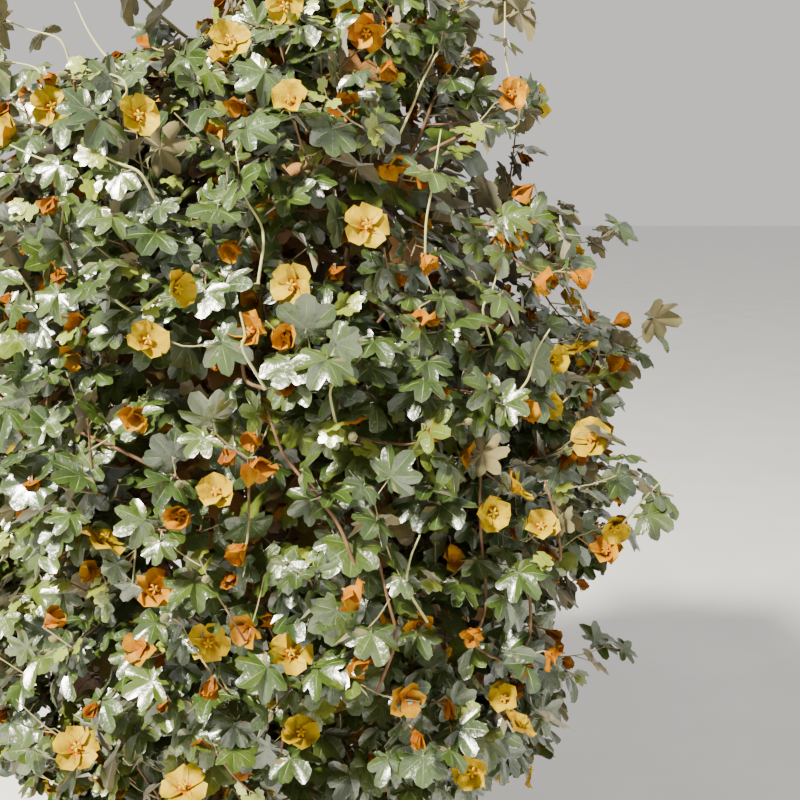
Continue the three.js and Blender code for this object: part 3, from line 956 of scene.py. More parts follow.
SOIL = material(
    "soil", [(0.02, 0.012, 0.008), (0.07, 0.042, 0.026)],
    120, (0.9, 1.0), 1.0, 300, specular=0.2,
)
FLOOR = material(
    "floor_paint", [(0.78, 0.77, 0.75), (0.82, 0.81, 0.79)],
    3, (0.75, 0.85), 0.05, 60, specular=0.2,
)

# The two colours of each tone of leaf. The first five are dealt out by spray, with these ends of their
# shares. The others go to the ends of young sprays and to the shade inside the crown. There the olive and dry
# tones are painted shade: a warm brown that leaves get because shade falls on them, the dry one also standing
# for dead leaves
LEAF_TONES = {
    "deep": [(0.018, 0.039, 0.006), (0.032, 0.059, 0.008)],
    "dark": [(0.028, 0.055, 0.006), (0.042, 0.075, 0.009)],
    "mid": [(0.035, 0.064, 0.006), (0.05, 0.081, 0.009)],
    "light": [(0.05, 0.083, 0.007), (0.068, 0.103, 0.01)],
    "pale": [(0.084, 0.121, 0.011), (0.11, 0.15, 0.016)],
    "young": [(0.16, 0.206, 0.018), (0.22, 0.266, 0.027)],
    # Painted shade for leaves deep in the crown: a warm olive, and a dry brown that also stands for dead
    # leaves
    "olive": [(0.18, 0.138, 0.034), (0.25, 0.182, 0.046)],
    "dry": [(0.23, 0.105, 0.028), (0.34, 0.165, 0.043)],
}
TONE_ENDS = [0.22, 0.52, 0.8, 0.92]
DRY_SHARE = 0.4
YOUNG_SHARE = 0.2

# The two colours of each part of each kind of flower
FLOWER_PARTS = ["inner", "outer", "column", "throat"]
FLOWER_COLOURS = {
    "fresh": [
        ((0.31, 0.19, 0), (0.45, 0.315, 0)),
        ((0.31, 0.155, 0), (0.42, 0.25, 0)),
        ((0.5, 0.32, 0), (0.58, 0.39, 0)),
        ((0.4, 0.13, 0), (0.46, 0.19, 0)),
    ],
    "ageing": [
        ((0.28, 0.085, 0), (0.44, 0.22, 0)),
        ((0.25, 0.072, 0), (0.35, 0.135, 0)),
        ((0.42, 0.2, 0), (0.5, 0.25, 0.01)),
        ((0.34, 0.07, 0), (0.42, 0.11, 0)),
    ],
    "faded": [
        ((0.25, 0.1, 0), (0.36, 0.19, 0)),
        ((0.21, 0.065, 0), (0.3, 0.12, 0)),
        ((0.34, 0.17, 0), (0.4, 0.21, 0.01)),
        ((0.24, 0.07, 0), (0.3, 0.11, 0)),
    ],
    "withered": [
        ((0.17, 0.048, 0), (0.3, 0.115, 0)),
        ((0.13, 0.034, 0), (0.24, 0.083, 0)),
        ((0.24, 0.11, 0), (0.3, 0.14, 0)),
        ((0.16, 0.04, 0), (0.24, 0.07, 0)),
    ],
}


# Leaves: a palmate blade from its stalk's end at the origin to its tip at y = 1

# Each point is an angle from the tip, a radius, and the share of the cut between two lobes that it takes
LEAF_EDGE = [
    (0, 1.0, 0), (8, 0.955, 0), (14, 0.965, 0.12), (20, 0.9, 0.6), (26, 0.87, 1), (32, 0.89, 0.55),
    (38, 0.93, 0.15), (43, 0.94, 0), (49, 0.99, 0), (56, 0.94, 0), (62, 0.92, 0.2), (68, 0.86, 0.65),
    (74, 0.83, 1), (81, 0.84, 0.5), (88, 0.84, 0.1), (97, 0.88, 0), (106, 0.81, 0.1), (116, 0.71, 0.6),
    (126, 0.62, 1), (142, 0.61, 0.1), (158, 0.46, 0),
]
PLAIN_EDGE = [
    (0, 1.0), (14, 0.93), (25, 0.75), (47, 0.96), (63, 0.85), (76, 0.67), (96, 0.81), (123, 0.54), (153, 0.5),
]
STALK_NOTCH = (180, 0.06)
SHALLOW_CUT = 0.09
MIDDLE_CUT = 0.18
DEEP_CUT = 0.25
LOBES = [0, 49, 97]
LOBE_HALF_ANGLE = 24
BETWEEN_LOBES = [26, 76, 138]
RING_SHARE = 0.5
VEIN_HALF_ANGLE = 1.1
VEIN_WIDTH = 2 * VEIN_HALF_ANGLE
VEIN_DEPTH = 0.014
RING_BULGE = 1.1
BULGE = 0.055
RIPPLES = 5
RIPPLE_START = 40
TOOTH_LIFT = 0.012
LOBE_CURL = 0.18
MEAN_RADIUS = 0.78
UNEVEN_EDGE = 0.08
UNEVEN_BLADE = 0.06
UNDER_SIDE = (0, 0.02, -0.045)


def blade_point(angle, radius, fold, droop, raised):
    turn = math.radians(angle)
    x = math.sin(turn) * radius
    y = math.cos(turn) * radius
    return (x, y, fold * abs(x) - droop * (x * x + y * y) + raised)


def leaf_template(cut, point_share, fold, droop, wave, seed):
    """A closed blade. The upper face has a ring between stalk and edge, where the veins lie in grooves."""
    draw = random_from(seed)
    half = []
    for angle, radius, share in LEAF_EDGE:
        off_lobe = min(abs(angle - lobe) for lobe in LOBES) / LOBE_HALF_ANGLE
        half.append((angle, (radius - cut * share) * (1 - point_share * min(1, off_lobe))))
    right = [(angle, radius * (1 + UNEVEN_EDGE * (draw() - 0.5))) for angle, radius in half[1:]]
    left = [(-angle, radius * (1 + UNEVEN_EDGE * (draw() - 0.5))) for angle, radius in reversed(half[1:])]
    edge = left + [half[0]] + right + [STALK_NOTCH]
    ring = [(sign * VEIN_HALF_ANGLE, True) for sign in (-1, 1)]
    for side in (-1, 1):
        ring += [(side * angle + sign * VEIN_HALF_ANGLE, True) for angle in LOBES[1:] for sign in (-1, 1)]
        ring += [(side * angle, False) for angle in BETWEEN_LOBES]
    ring = sorted(ring)
    edge_angles, edge_radii = zip(*edge)

    def point(angle, radius, raised):
        ripple = wave * math.sin(math.radians(angle * RIPPLES + RIPPLE_START * seed)) * radius
        return blade_point(angle, radius, fold, droop, ripple + raised)

    points = [(0, 0, 0)]
    for angle, is_vein in ring:
        radius = RING_SHARE * float(np.interp(angle, edge_angles, edge_radii))
        if is_vein:
            points.append(point(angle, radius, -VEIN_DEPTH))
        else:
            points.append(point(angle, radius * RING_BULGE, BULGE))
    for i, (angle, radius) in enumerate(edge):
        points.append(point(angle, radius, TOOTH_LIFT * (-1) ** i + LOBE_CURL * (MEAN_RADIUS - radius)))
    points.append(UNDER_SIDE)

    inner_count = len(ring)
    outer_count = len(edge)
    first_edge = 1 + inner_count
    under = first_edge + outer_count

    def on_vein(i):
        both = i + 1 < inner_count and ring[i][1] and ring[i + 1][1]
        return both and ring[i + 1][0] - ring[i][0] < 2 * VEIN_WIDTH

    faces = [(0, 1 + (i + 1) % inner_count, 1 + i) for i in range(inner_count)]
    slots = [int(on_vein(i)) for i in range(inner_count)]
    inner_turns = [angle for angle, _ in ring] + [ring[0][0] + 360]
    outer_turns = [*edge_angles, edge_angles[0] + 360]
    i = 0
    j = 0
    while i < inner_count or j < outer_count:
        inner = 1 + i % inner_count
        outer = first_edge + j % outer_count
        inner_is_next = i < inner_count and (
            j >= outer_count or inner_turns[i] + inner_turns[i + 1] < outer_turns[j] + outer_turns[j + 1]
        )
        if inner_is_next:
            faces.append((inner, 1 + (i + 1) % inner_count, outer))
            slots.append(int(on_vein(i)))
            i += 1
        else:
            faces.append((inner, first_edge + (j + 1) % outer_count, outer))
            slots.append(0)
            j += 1
    faces += [(under, first_edge + j, first_edge + (j + 1) % outer_count) for j in range(outer_count)]
    slots += [2] * outer_count
    return np.array(points), np.array(faces), np.array(slots)


def plain_leaf_template(fold, droop, seed):
    """A blade of few faces for the shade inside the crown."""
    draw = random_from(seed)
    edge = [(-angle, radius) for angle, radius in reversed(PLAIN_EDGE[1:])] + PLAIN_EDGE + [STALK_NOTCH]
    count = len(edge)
    points = [(0, 0, 0)]
    points += [blade_point(*place, fold, droop, UNEVEN_BLADE * (draw() - 0.5)) for place in edge]
    points.append(UNDER_SIDE)
    faces = []
    for j in range(count):
        here = 1 + j
        following = 1 + (j + 1) % count
        faces += [(0, following, here), (count + 1, here, following)]
    return np.array(points), np.array(faces), np.array([0, 2] * count)


# Cut, pointedness, fold, droop, wave and seed of the full shapes. Fold, droop and seed of the plain ones
FULL_SHAPES = [
    (SHALLOW_CUT, 0.02, 0.16, 0.14, 0.07, 11),
    (MIDDLE_CUT, 0.05, 0.04, 0.26, 0.1, 23),
    (DEEP_CUT, 0.07, 0.28, 0.2, 0.08, 37),
    (MIDDLE_CUT, 0.02, 0.1, 0.34, 0.13, 53),
    (MIDDLE_CUT, 0.03, -0.1, 0.14, 0.15, 59),
]
PLAIN_SHAPES = [(0.18, 0.2, 71), (0.05, 0.3, 83)]
FULL_LEAVES = [leaf_template(*shape) for shape in FULL_SHAPES]
PLAIN_LEAVES = [plain_leaf_template(*shape) for shape in PLAIN_SHAPES]


def spray_leaves(twig, segments, random, ends_young):
    """Leaves alternate along a twig on stalks, and turn their faces out and up."""
    line = twig["line"]
    length = line_length(line)
    first = FIRST_LEAF if length > LONG_TWIG else FIRST_LEAF / 2
    usual = SHADED_SPACING if deep_in_crown(line[-1], SHADED_SHARE) else LEAF_SPACING
    count = max(2, int(length * (1 - first) / twig.get("spacing", usual)))
    leaves = []
    for i in range(count + (2 if ends_young else 1)):
        at_tip = i >= count
        t = TIP_LEAF if at_tip else first + (LAST_LEAF - first) * (i + LEAF_STEP_START) / count
        base = along(line, t)
        tangent = heading(line, t)
        out = rotated(side_of(tangent), tangent, i * GOLDEN_ANGLE + LEAF_TURN * random())
        outward = outward_from_axis(base)
        young = ends_young and i >= count - 1
        size = mix(*(YOUNG_LENGTHS if young else LEAF_LENGTHS), random() ** LENGTH_POWER)
        if deep_in_crown(base, INNER_SHARE):
            size *= INNER_LEAF_GROWTH
        stalk = mix(*PETIOLE, random()) * (YOUNG_PETIOLE if young else 1)
        weights = TIP_STALK_WEIGHTS if at_tip else STALK_WEIGHTS
        direction = unit(blend(weights, tangent, out, outward, UP))
        blade = base + direction * stalk
        axis = unit(blend(BLADE_WEIGHTS, direction, outward, UP, sway_from(random)))
        face = blend(FACE_WEIGHTS, UP, outward, sway_from(random))
        face = unit(face - axis * np.dot(face, axis))
        leaves.append((base, blade, axis, face, size, young))
    _, blades, axes, faces, sizes, _ = (np.array(column) for column in zip(*leaves))
    sides = np.cross(axes, faces)
    fits = np.ones(len(leaves), dtype=bool)
    for x, y in LEAF_CORNERS:
        points = blades + sizes[:, None] * (x * sides + y * axes)
        fits &= in_cell(points, twig["mass"], LEAF_CELL_MARGIN)
        fits &= (points[:, 2] > LOWEST_LEAF) if twig["shoot"] else in_crown(points, LEAF_SLACK)
        fits &= in_box(points)
        fits &= clear_of_limbs(points, segments, LEAF_LIMB_MARGIN)
    return [leaf for leaf, fit in zip(leaves, fits) if fit]


# Flowers: five sepals round a column with five anthers, of radius 1, facing z. The column and the style have
# heights, radii and a number of sides

SEPALS = 5
FINE_SEPAL = {
    "stations": [0, 0.3, 0.6, 0.87, 1],
    "half_widths": [0.1, 0.34, 0.5, 0.45, 0],
    "across": [-1, -0.5, 0, 0.5, 1],
}
PLAIN_SEPAL = {"stations": [0, 0.45, 0.8, 1], "half_widths": [0.12, 0.48, 0.4, 0], "across": [-1, 0, 1]}
SEPAL_THICKNESS = 0.035
SEPAL_FOOT = 0.06
SEPAL_SWAY = 9
SEPAL_BEND = 24
SEPAL_ROLL = 0.16
LOOSE_ROLL = 0.5
EDGE_LIFT = 0.19
EDGE_POWER = 1.3
EDGE_RUFFLE = 0.19
INNER_RUFFLE = 0.1
COLUMN = ([0.02, 0.2, 0.36], [0.07, 0.05, 0.05], 5)
STYLE = ([0.36, 0.66], [0.018, 0.01], 3)
ANTHER_TURN = 30
ANTHER_OUT = [0, 0.1, 0.2, 0.2]
ANTHER_UP = [0.33, 0.44, 0.4, 0.29]
ANTHER_RADII = [0.03, 0.05, 0.06, 0.03]
ANTHER_SIDES = 4


def sepal_mesh(form, sepal, rise, curl, spread, loose, draw):
    """A closed sepal that leaves the middle at an angle, rise, and ends at another, curl."""
    turn = math.radians(sepal * 360 / SEPALS + SEPAL_SWAY * (draw() - 0.5))
    radial = np.array([math.cos(turn), math.sin(turn), 0])
    side = np.array([-math.sin(turn), math.cos(turn), 0])
    bend = SEPAL_BEND * loose * (draw() - 0.5)
    roll = SEPAL_ROLL + LOOSE_ROLL * loose * (draw() - 0.5)
    place = SEPAL_FOOT * radial
    upper, lower = [], []
    for k, (station, half) in enumerate(zip(form["stations"], form["half_widths"])):
        angle = math.radians(mix(rise, curl + bend, station))
        along_sepal = math.cos(angle) * radial + math.sin(angle) * UP
        normal = -math.sin(angle) * radial + math.cos(angle) * UP
        if k:
            place = place + along_sepal * (station - form["stations"][k - 1])
        for c in form["across"] if half else [0.0]:
            ruffle = (EDGE_RUFFLE if abs(c) == 1 else INNER_RUFFLE) * loose * (draw() - 0.5)
            lift = EDGE_LIFT * abs(c) ** EDGE_POWER * spread + roll * c * half + ruffle
            point = place + half * spread * c * side + normal * lift
            upper.append(point)
            lower.append(point if abs(c) == 1 or half == 0 else point - normal * SEPAL_THICKNESS)
    faces, slots = [], []
    width = len(form["across"])
    rows = len(form["stations"]) - 1
    for k in range(rows - 1):
        for c in range(width - 1):
            a = k * width + c
            faces += [(a, a + width, a + width + 1), (a, a + width + 1, a + 1)]
            slots += [3 if k == 0 else 0] * 2
    tip = rows * width
    for c in range(width - 1):
        faces.append((tip - width + c, tip, tip - width + c + 1))
        slots.append(0)
    faces = np.array(faces)
    return (
        np.array(upper + lower),
        np.concatenate([faces, faces[:, ::-1] + len(upper)]),
        np.array(slots + [1] * len(faces)),
    )


def flower_template(form, rise, curl, spread, loose, seed):
    draw = random_from(seed)
    built = Joined()
    for sepal in range(SEPALS):
        built.add(*sepal_mesh(form, sepal, rise, curl, spread, loose, draw))
    if form is FINE_SEPAL:
        for heights, radii, sides in (COLUMN, STYLE):
            built.add(*tube([height * UP for height in heights], radii, sides), 2)
        for anther in range(SEPALS):
            out = polar(anther * 360 / SEPALS + ANTHER_TURN, 1, 0)
            path = [aside * out + height * UP for aside, height in zip(ANTHER_OUT, ANTHER_UP)]
            built.add(*tube(path, ANTHER_RADII, ANTHER_SIDES), 2)
    return np.concatenate(built.points), np.concatenate(built.faces), np.concatenate(built.slots)


# Rise and curl of the sepals, their spread, how loose they are, and the seed
FLOWER_FORMS = {
    "fresh": (FINE_SEPAL, [(44, -12, 1, 1, 5), (54, 2, 0.96, 1.2, 9), (64, 22, 0.9, 1, 13)]),
    "ageing": (FINE_SEPAL, [(58, 22, 0.9, 2, 15), (68, 58, 0.78, 1.8, 21)]),
    "faded": (PLAIN_SEPAL, [(50, 14, 0.95, 1.6, 43), (62, 44, 0.85, 1.8, 47)]),
    "withered": (PLAIN_SEPAL, [(80, 78, 0.6, 2.2, 27), (66, 96, 0.7, 2.4, 33), (58, 50, 0.8, 2.4, 39)]),
}
FLOWER_TEMPLATES = {
    kind: [flower_template(form, *shape) for shape in shapes]
    for kind, (form, shapes) in FLOWER_FORMS.items()
}

# Where the photograph shows open flowers from the front, others that are open, and ageing ones, in its pixels
# from the top left corner
FACING_FLOWERS = [(50, 108), (135, 118), (540, 530), (290, 655), (300, 737), (507, 700), (75, 750)]
OPEN_FLOWERS = [
    (230, 45), (293, 105), (365, 228), (295, 285), (217, 495), (100, 545), (512, 492), (550, 360),
    (580, 352), (600, 438), (627, 520), (278, 697), (515, 730), (475, 770), (185, 790), (145, 345),
    (172, 290), (210, 640), (12, 435), (228, 62), (352, 15), (285, 5), (490, 510),
]
AGEING_FLOWERS = [
    (367, 30), (390, 60), (390, 160), (530, 180), (512, 97), (423, 255), (420, 310), (465, 345),
    (535, 280), (520, 415), (425, 425), (260, 435), (257, 460), (180, 515), (60, 555), (45, 625),
    (150, 590), (245, 545), (345, 590), (390, 612), (555, 650), (237, 245), (215, 230), (288, 335),
    (255, 335), (540, 575), (605, 555), (480, 630), (357, 655),
]

# Pale young shoots and brown stems that the photograph shows, in its pixels from the foot to the tip
PALE_SHOOTS = [
    [(410, 112), (424, 78), (440, 48)], [(426, 224), (432, 188), (441, 130)],
    [(518, 124), (506, 60), (505, 2)], [(528, 379), (536, 352), (550, 329)],
    [(618, 528), (640, 503), (668, 474)], [(483, 310), (492, 291), (500, 262)],
    [(43, 81), (33, 67), (2, 61)], [(127, 90), (118, 77), (84, 69)],
    [(57, 164), (34, 156), (10, 145)], [(141, 174), (118, 163), (96, 153)],
    [(58, 204), (44, 204), (28, 207)], [(151, 215), (133, 215), (115, 218)],
    [(205, 205), (218, 201), (231, 196)], [(263, 232), (244, 195), (236, 151)],
    [(32, 294), (25, 282), (17, 271)], [(119, 303), (111, 292), (103, 281)],
    [(105, 55), (88, 30), (75, 2)], [(60, 40), (30, 30), (3, 19)],
    [(330, 395), (334, 380), (330, 362)], [(408, 588), (410, 560), (420, 535)],
    [(243, 350), (245, 335), (240, 312)],
]
BROWN_STEMS = [
    [(338, 524), (307, 484), (283, 453), (267, 410)], [(486, 600), (480, 520), (482, 430)],
    [(528, 640), (530, 600), (524, 568)], [(246, 380), (242, 350), (244, 318)],
    [(395, 640), (388, 600), (378, 560)], [(160, 470), (120, 450), (75, 430)],
    [(560, 560), (556, 520), (545, 480)],
]

# How far before the crown's front the shoots and stems stand, their radii and the spacing of their leaves
PALE_SHOOT = {"forward": 12, "radii": [1.9, 1.6, 1.1], "spacing": 48}
BROWN_STEM = {"forward": -14, "radii": [2.6, 2.3, 1.9], "spacing": 400}

# How far before their twigs the flowers stand, and how much they face the camera, upward and any way
FACING = {"forward": 30, "turn": (1, 0.25, 0.8)}
OPEN = {"forward": 16, "turn": (0.9, 0.3, 1.9)}
AGEING = {"forward": 4, "turn": (0.5, -0.25, 1.7)}


def camera_axes():
    pitch = math.radians(CAMERA_PITCH)
    return (
        np.array([1.0, 0, 0]),
        np.array([0, -math.sin(pitch), math.cos(pitch)]),
        np.array([0, math.cos(pitch), math.sin(pitch)]),
    )


def ray_through(pixel):
    right, above, ahead = camera_axes()
    half = IMAGE_SIZE / 2
    return unit(ahead + right * (pixel[0] - half) / FOCAL_PIXELS + above * (half - pixel[1]) / FOCAL_PIXELS)


def seen(points):
    """The pixels at which the camera sees points, and how far ahead of it they are."""
    right, above, ahead = camera_axes()
    offset = points - CAMERA_PLACE
    depth = offset @ ahead
    x = IMAGE_SIZE / 2 + FOCAL_PIXELS * (offset @ right) / depth
    y = IMAGE_SIZE / 2 - FOCAL_PIXELS * (offset @ above) / depth
    return x, y, depth


def flowers_in_view(pixels, sites, random, forward, turn):
    """A flower on each pixel's ray, beside the nearest twig that is close to the front of the crown."""
    x, y, depth = seen(sites)
    found = []
    for pixel in pixels:
        gap = np.hypot(x - pixel[0], y - pixel[1])
        near = gap < FRONT_PIXELS
        front = depth[near].min() if near.any() else USUAL_FRONT
        best = sites[int(np.argmin(gap / PIXELS_ASIDE + np.maximum(0, depth - front) / MILLIMETRES_BEHIND))]
        ray = ray_through(pixel)
        away = CAMERA_PLACE + ray * (np.dot(best - CAMERA_PLACE, ray) - forward) - best
        away *= min(1, LONGEST_STALK / np.linalg.norm(away))
        facing = unit(blend(turn, -ray, UP, sway_from(random)))
        found.append((best, best + away, facing))
    return found


def shoots_in_view(lines, sites, owners, forward, radii, spacing):
    """Shoots along pixel lines, near the front of the crown. Each starts at the nearest twig."""
    x, y, depth = seen(sites)
    ahead = camera_axes()[2]
    grown = []
    for pixels in lines:
        fronts = []
        for pixel in (pixels[0], pixels[len(pixels) // 2]):
            near = np.hypot(x - pixel[0], y - pixel[1]) < SHOOT_FRONT_PIXELS
            if near.any():
                fronts.append(depth[near].min())
        if not fronts:
            continue
        front = max(fronts) - forward
        rays = [ray_through(pixel) for pixel in pixels]
        line = [CAMERA_PLACE + ray * front / np.dot(ray, ahead) for ray in rays]
        to_foot = line[0] - sites
        gap = np.linalg.norm(to_foot, axis=1)
        aligned = to_foot @ unit(line[1] - line[0]) / np.maximum(gap, 1)
        root = int(np.argmin(gap + TURN_COST * (1 - aligned)))
        line = list(smooth_line([sites[root]] + line, SHOOT_PIECES))
        grown.append(twig_of(line, radii, owners[root], shoot=True, spacing=spacing))
    return grown


# Grow the plant

trunk, main_boughs, side_boughs, leader, top_boughs = all_limbs()
limbs = [trunk] + main_boughs + [one for tier in side_boughs for one in tier] + [leader]
limbs += [one for one in top_boughs if one]
segments = limb_segments(limbs)
masses = all_masses(main_boughs, side_boughs, leader, top_boughs)

coarse = [twig for mass in masses for twig in mass_twigs(mass, segments)]
for twig in coarse:
    line = smooth_line(twig["line"], COARSE_PIECES)
    twig["radii"] = spread_radii(line, twig["radii"])
    twig["line"] = list(line)
bearing = [{"line": one["line"], "mass": None} for one in limbs[1:]]
taken = [twig["line"][-1] for twig in coarse]
fine = finer_twigs(coarse + bearing, FINE, masses, segments, taken)
spurs = finer_twigs(fine + coarse, SPUR, masses, segments, taken)
fine += gap_shoots(coarse + fine + spurs, masses, segments)
sites = np.array([along(twig["line"], t) for twig in fine + spurs for t in SHOOT_SITES])
owners = [twig["mass"] for twig in fine + spurs for _ in SHOOT_SITES]
pale_shoots = shoots_in_view(PALE_SHOOTS, sites, owners, **PALE_SHOOT)
brown_stems = shoots_in_view(BROWN_STEMS, sites, owners, **BROWN_STEM)
loose = loose_shoots(spurs)
leafy = coarse + fine + spurs + pale_shoots + loose


def ridged(angles, run, radius):
    return radius * RIDGE_DEPTH * np.sin(angles * RIDGES + run / RIDGE_TWIST)


wood = Joined()
for one in limbs:
    line = smooth_line(one["line"], LIMB_PIECES)
    if one is trunk:
        line[0] -= FOOT_IN_SOIL * UP
    sides = TRUNK_SIDES if one is trunk else BOUGH_SIDES
    wood.add(*tube(line, spread_radii(line, one["radii"]), sides, ridged))
limbs_piece = wood.piece("trunk_and_boughs", [BARK], "bark", sharp=80)
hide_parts(*[one["name"] for one in limbs])

brown_twigs = Joined()
green_twigs = Joined()
pale_twigs = Joined()
stalks = Joined()
for twig in coarse:
    target = green_twigs if twig["shoot"] else brown_twigs
    target.add(*tube(twig["line"], twig["radii"], TWIG_SIDES))
for twig in fine + spurs + loose:
    line = smooth_line(twig["line"], FINE_PIECES)
    target = brown_twigs if twig["radii"] is FINE["radii"] else green_twigs
    target.add(*tube(line, spread_radii(line, twig["radii"]), FINE_TWIG_SIDES))
for target, shoots in ((brown_twigs, brown_stems), (pale_twigs, pale_shoots)):
    for shoot in shoots:
        target.add(*tube(shoot["line"], spread_radii(shoot["line"], shoot["radii"]), TWIG_SIDES))

# Flowers: those that the photograph shows, and more of the same all round
sites = np.array([along(twig["line"], t) for twig in fine + spurs for t in FLOWER_SITES])
random = random_from(FLOWER_SEED)
facing_flowers = flowers_in_view(FACING_FLOWERS, sites, random, **FACING)
open_flowers = flowers_in_view(OPEN_FLOWERS, sites, random, **OPEN)
ageing_flowers = flowers_in_view(AGEING_FLOWERS, sites, random, **AGEING)
flowers = {"fresh": facing_flowers + open_flowers, "ageing": ageing_flowers}
flowers.update({"faded": [], "withered": [], "bud": []})
taken = [place for _, place, _ in flowers["fresh"] + flowers["ageing"]]
for twig in fine + spurs:
    if in_crown(twig["line"][-1], FLOWERING_SHARE):
        continue
    base = along(twig["line"], mix(*FLOWERING_PART, random()))
    outward = outward_from_axis(base)
    to_view = -np.dot(outward, unit(base - CAMERA_PLACE))
    draw = random() * (1 if to_view > SIDEWAYS else AWAY_SHARE)
    kind = FLOWER_KINDS[int(np.searchsorted(FLOWER_ENDS, draw))]
    if not kind:
        continue
    stalk = unit(blend(FLOWER_STALK_WEIGHTS, outward, UP, sway_from(random)))
    stalk *= mix(*FLOWER_STALKS, random())
    facing = unit(blend((1, FLOWER_LIFT[kind], FLOWER_SWAY), outward, UP, sway_from(random)))
    place = base + stalk
    if kind != "bud" and distance_to(taken, place) < FLOWER_SPACING:
        continue
    if kind in ("fresh", "ageing") and to_view > TO_CAMERA:
        kind = "faded"
        place = place - FADED_DEPTH * outward
    taken.append(place)
    flowers[kind].append((base, place, facing))

for kind, radii in FLOWER_RADII.items():
    joined = Joined()
    templates = FLOWER_TEMPLATES[kind]
    for number, template in enumerate(templates):
        chosen = flowers[kind][number::len(templates)]
        places = np.array([flower[1] for flower in chosen])
        facing = np.array([flower[2] for flower in chosen])
        spin = np.array([random() for _ in chosen])[:, None] * 2 * math.pi
        first = np.array([side_of(one) for one in facing])
        across = first * np.cos(spin) + np.cross(facing, first) * np.sin(spin)
        size = np.array([mix(*radii, random()) for _ in chosen])
        joined.add_copies(template, places, across, np.cross(facing, across), facing, size)
    skins = [petal_material(f"{kind}_{part}", pair) for part, pair in zip(FLOWER_PARTS, FLOWER_COLOURS[kind])]
    joined.piece(f"flowers_{kind}", skins, "foliage", sharp=70)
for kind in flowers:
    for base, place, facing in flowers[kind]:
        line = [base, place - facing * CALYX, place]
        stalks.add(*tube(line, FLOWER_STALK_RADII, FLOWER_STALK_SIDES))
buds = Joined()
for base, place, facing in flowers["bud"]:
    size = mix(*BUD_RADII, random())
    line = [place + facing * size * k for k in BUD_HEIGHTS]
    buds.add(*tube(line, [size * k for k in BUD_WIDTHS], BUD_SIDES))
buds.piece("buds", [BUD_FELT], "foliage", sharp=80)

# Leaves, each tone dealt out by spray. Young ones and those deep in the crown's shade take their own tones,
# the latter painted shade
ALL_LEAVES = FULL_LEAVES + PLAIN_LEAVES
random = random_from(LEAF_SEED)
leaf_groups = {tone: [[] for _ in ALL_LEAVES] for tone in LEAF_TONES}
opened = flowers["fresh"] + flowers["ageing"]
flower_places = np.array([place for _, place, _ in opened])
flower_faces = np.array([facing for _, _, facing in opened])
lit_places = flower_places[:len(facing_flowers)]
to_key = unit(np.array(KEY_PLACE) / MM - lit_places)
clearing = np.full(len(opened), CLEAR_RADIUS)
clearing[:len(facing_flowers) + len(open_flowers)] = OPEN_CLEAR_RADIUS
clearing[:len(facing_flowers)] = FACING_CLEAR_RADIUS


def from_lines(point, starts, directions):
    """How far a point lies along lines from their starts, and how far from the lines."""
    offset = point - starts
    run = np.sum(offset * directions, axis=1)
    return run, np.linalg.norm(offset - run[:, None] * directions, axis=1)


for twig in leafy:
    tone = list(LEAF_TONES)[int(np.searchsorted(TONE_ENDS, random()))]
    dry = random() < DRY_SHARE
    for leaf in spray_leaves(twig, segments, random, random() < YOUNG_SHARE):
        base, blade, axis, face, size, young = leaf
        draw = random()
        middle = blade + axis * size * LEAF_MIDDLE
        before, aside = from_lines(middle, flower_places, flower_faces)
        in_depth = (before > CLEAR_DEPTHS[0]) & (before < CLEAR_DEPTHS[1])
        if np.any(in_depth & (aside < clearing + size * CLEAR_LEAF_SHARE)):
            continue
        before, aside = from_lines(middle, lit_places, to_key)
        if np.any((before > 0) & (before < LIT_REACH) & (aside < LIT_WIDTH)):
            continue
        stalks.add(*tube([base, blade], LEAF_STALK_RADII, LEAF_STALK_SIDES))
        plain = young or deep_in_crown(middle, OUTER_SHARE)
        # Leaves deep in the crown's shade get painted shade: the warm olive tone, or the dry tone that also
        # stands for dead leaves
        shaded = deep_in_crown(middle, SHADED_SHARE) and openness(middle) < OPEN_TO_LIGHT
        own_tone = "young" if young else ("dry" if dry else "olive") if shaded else tone
        if plain:
            shape = len(FULL_LEAVES) + int(draw * len(PLAIN_LEAVES)) % len(PLAIN_LEAVES)
        else:
            shape = int(draw * len(FULL_LEAVES)) % len(FULL_LEAVES)
        leaf_groups[own_tone][shape].append(leaf)

for tone, groups in leaf_groups.items():
    joined = Joined()
    for template, leaves in zip(ALL_LEAVES, groups):
        if leaves:
            _, places, axes, faces, sizes, _ = (np.array(column) for column in zip(*leaves))
            joined.add_copies(template, places, np.cross(axes, faces), axes, faces, sizes)
    skins = [leaf_material(f"leaf_{tone}", LEAF_TONES[tone]), VEIN, FELT]
    joined.piece(f"leaves_{tone}", skins, "foliage")
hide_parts(*[mass["name"] for mass in masses])

brown_twigs.piece("twigs_brown", [TWIG_BARK], "bark", sharp=80)
green_twigs.piece("twigs_green", [TWIG_FELT], "foliage", sharp=80)
pale_twigs.piece("young_shoots", [YOUNG_BARK], "foliage", sharp=80)
stalks.piece("leaf_and_flower_stalks", [TWIG_FELT], "foliage", sharp=80)


# Pot and soil

def lathe(profile, sides):
    """Points and faces of rings round the vertical axis, one for each radius and height of a profile."""
    radius, height = np.array(profile, dtype=float).T[:, :, None]
    angles = np.arange(sides) / sides * 2 * math.pi
    flat = np.broadcast_to(height, (len(profile), sides))
    points = np.stack([radius * np.cos(angles), radius * np.sin(angles), flat], axis=-1)
    return points.reshape(-1, 3), np.concatenate(ring_faces(len(profile), sides))


def wall(height, out=0):
    """Radius and height of a place on the pot's tapered outer face, or that far out from it."""
    return mix(POT_FOOT_RADIUS, POT_TOP_RADIUS, height / POT_HEIGHT) + out, height


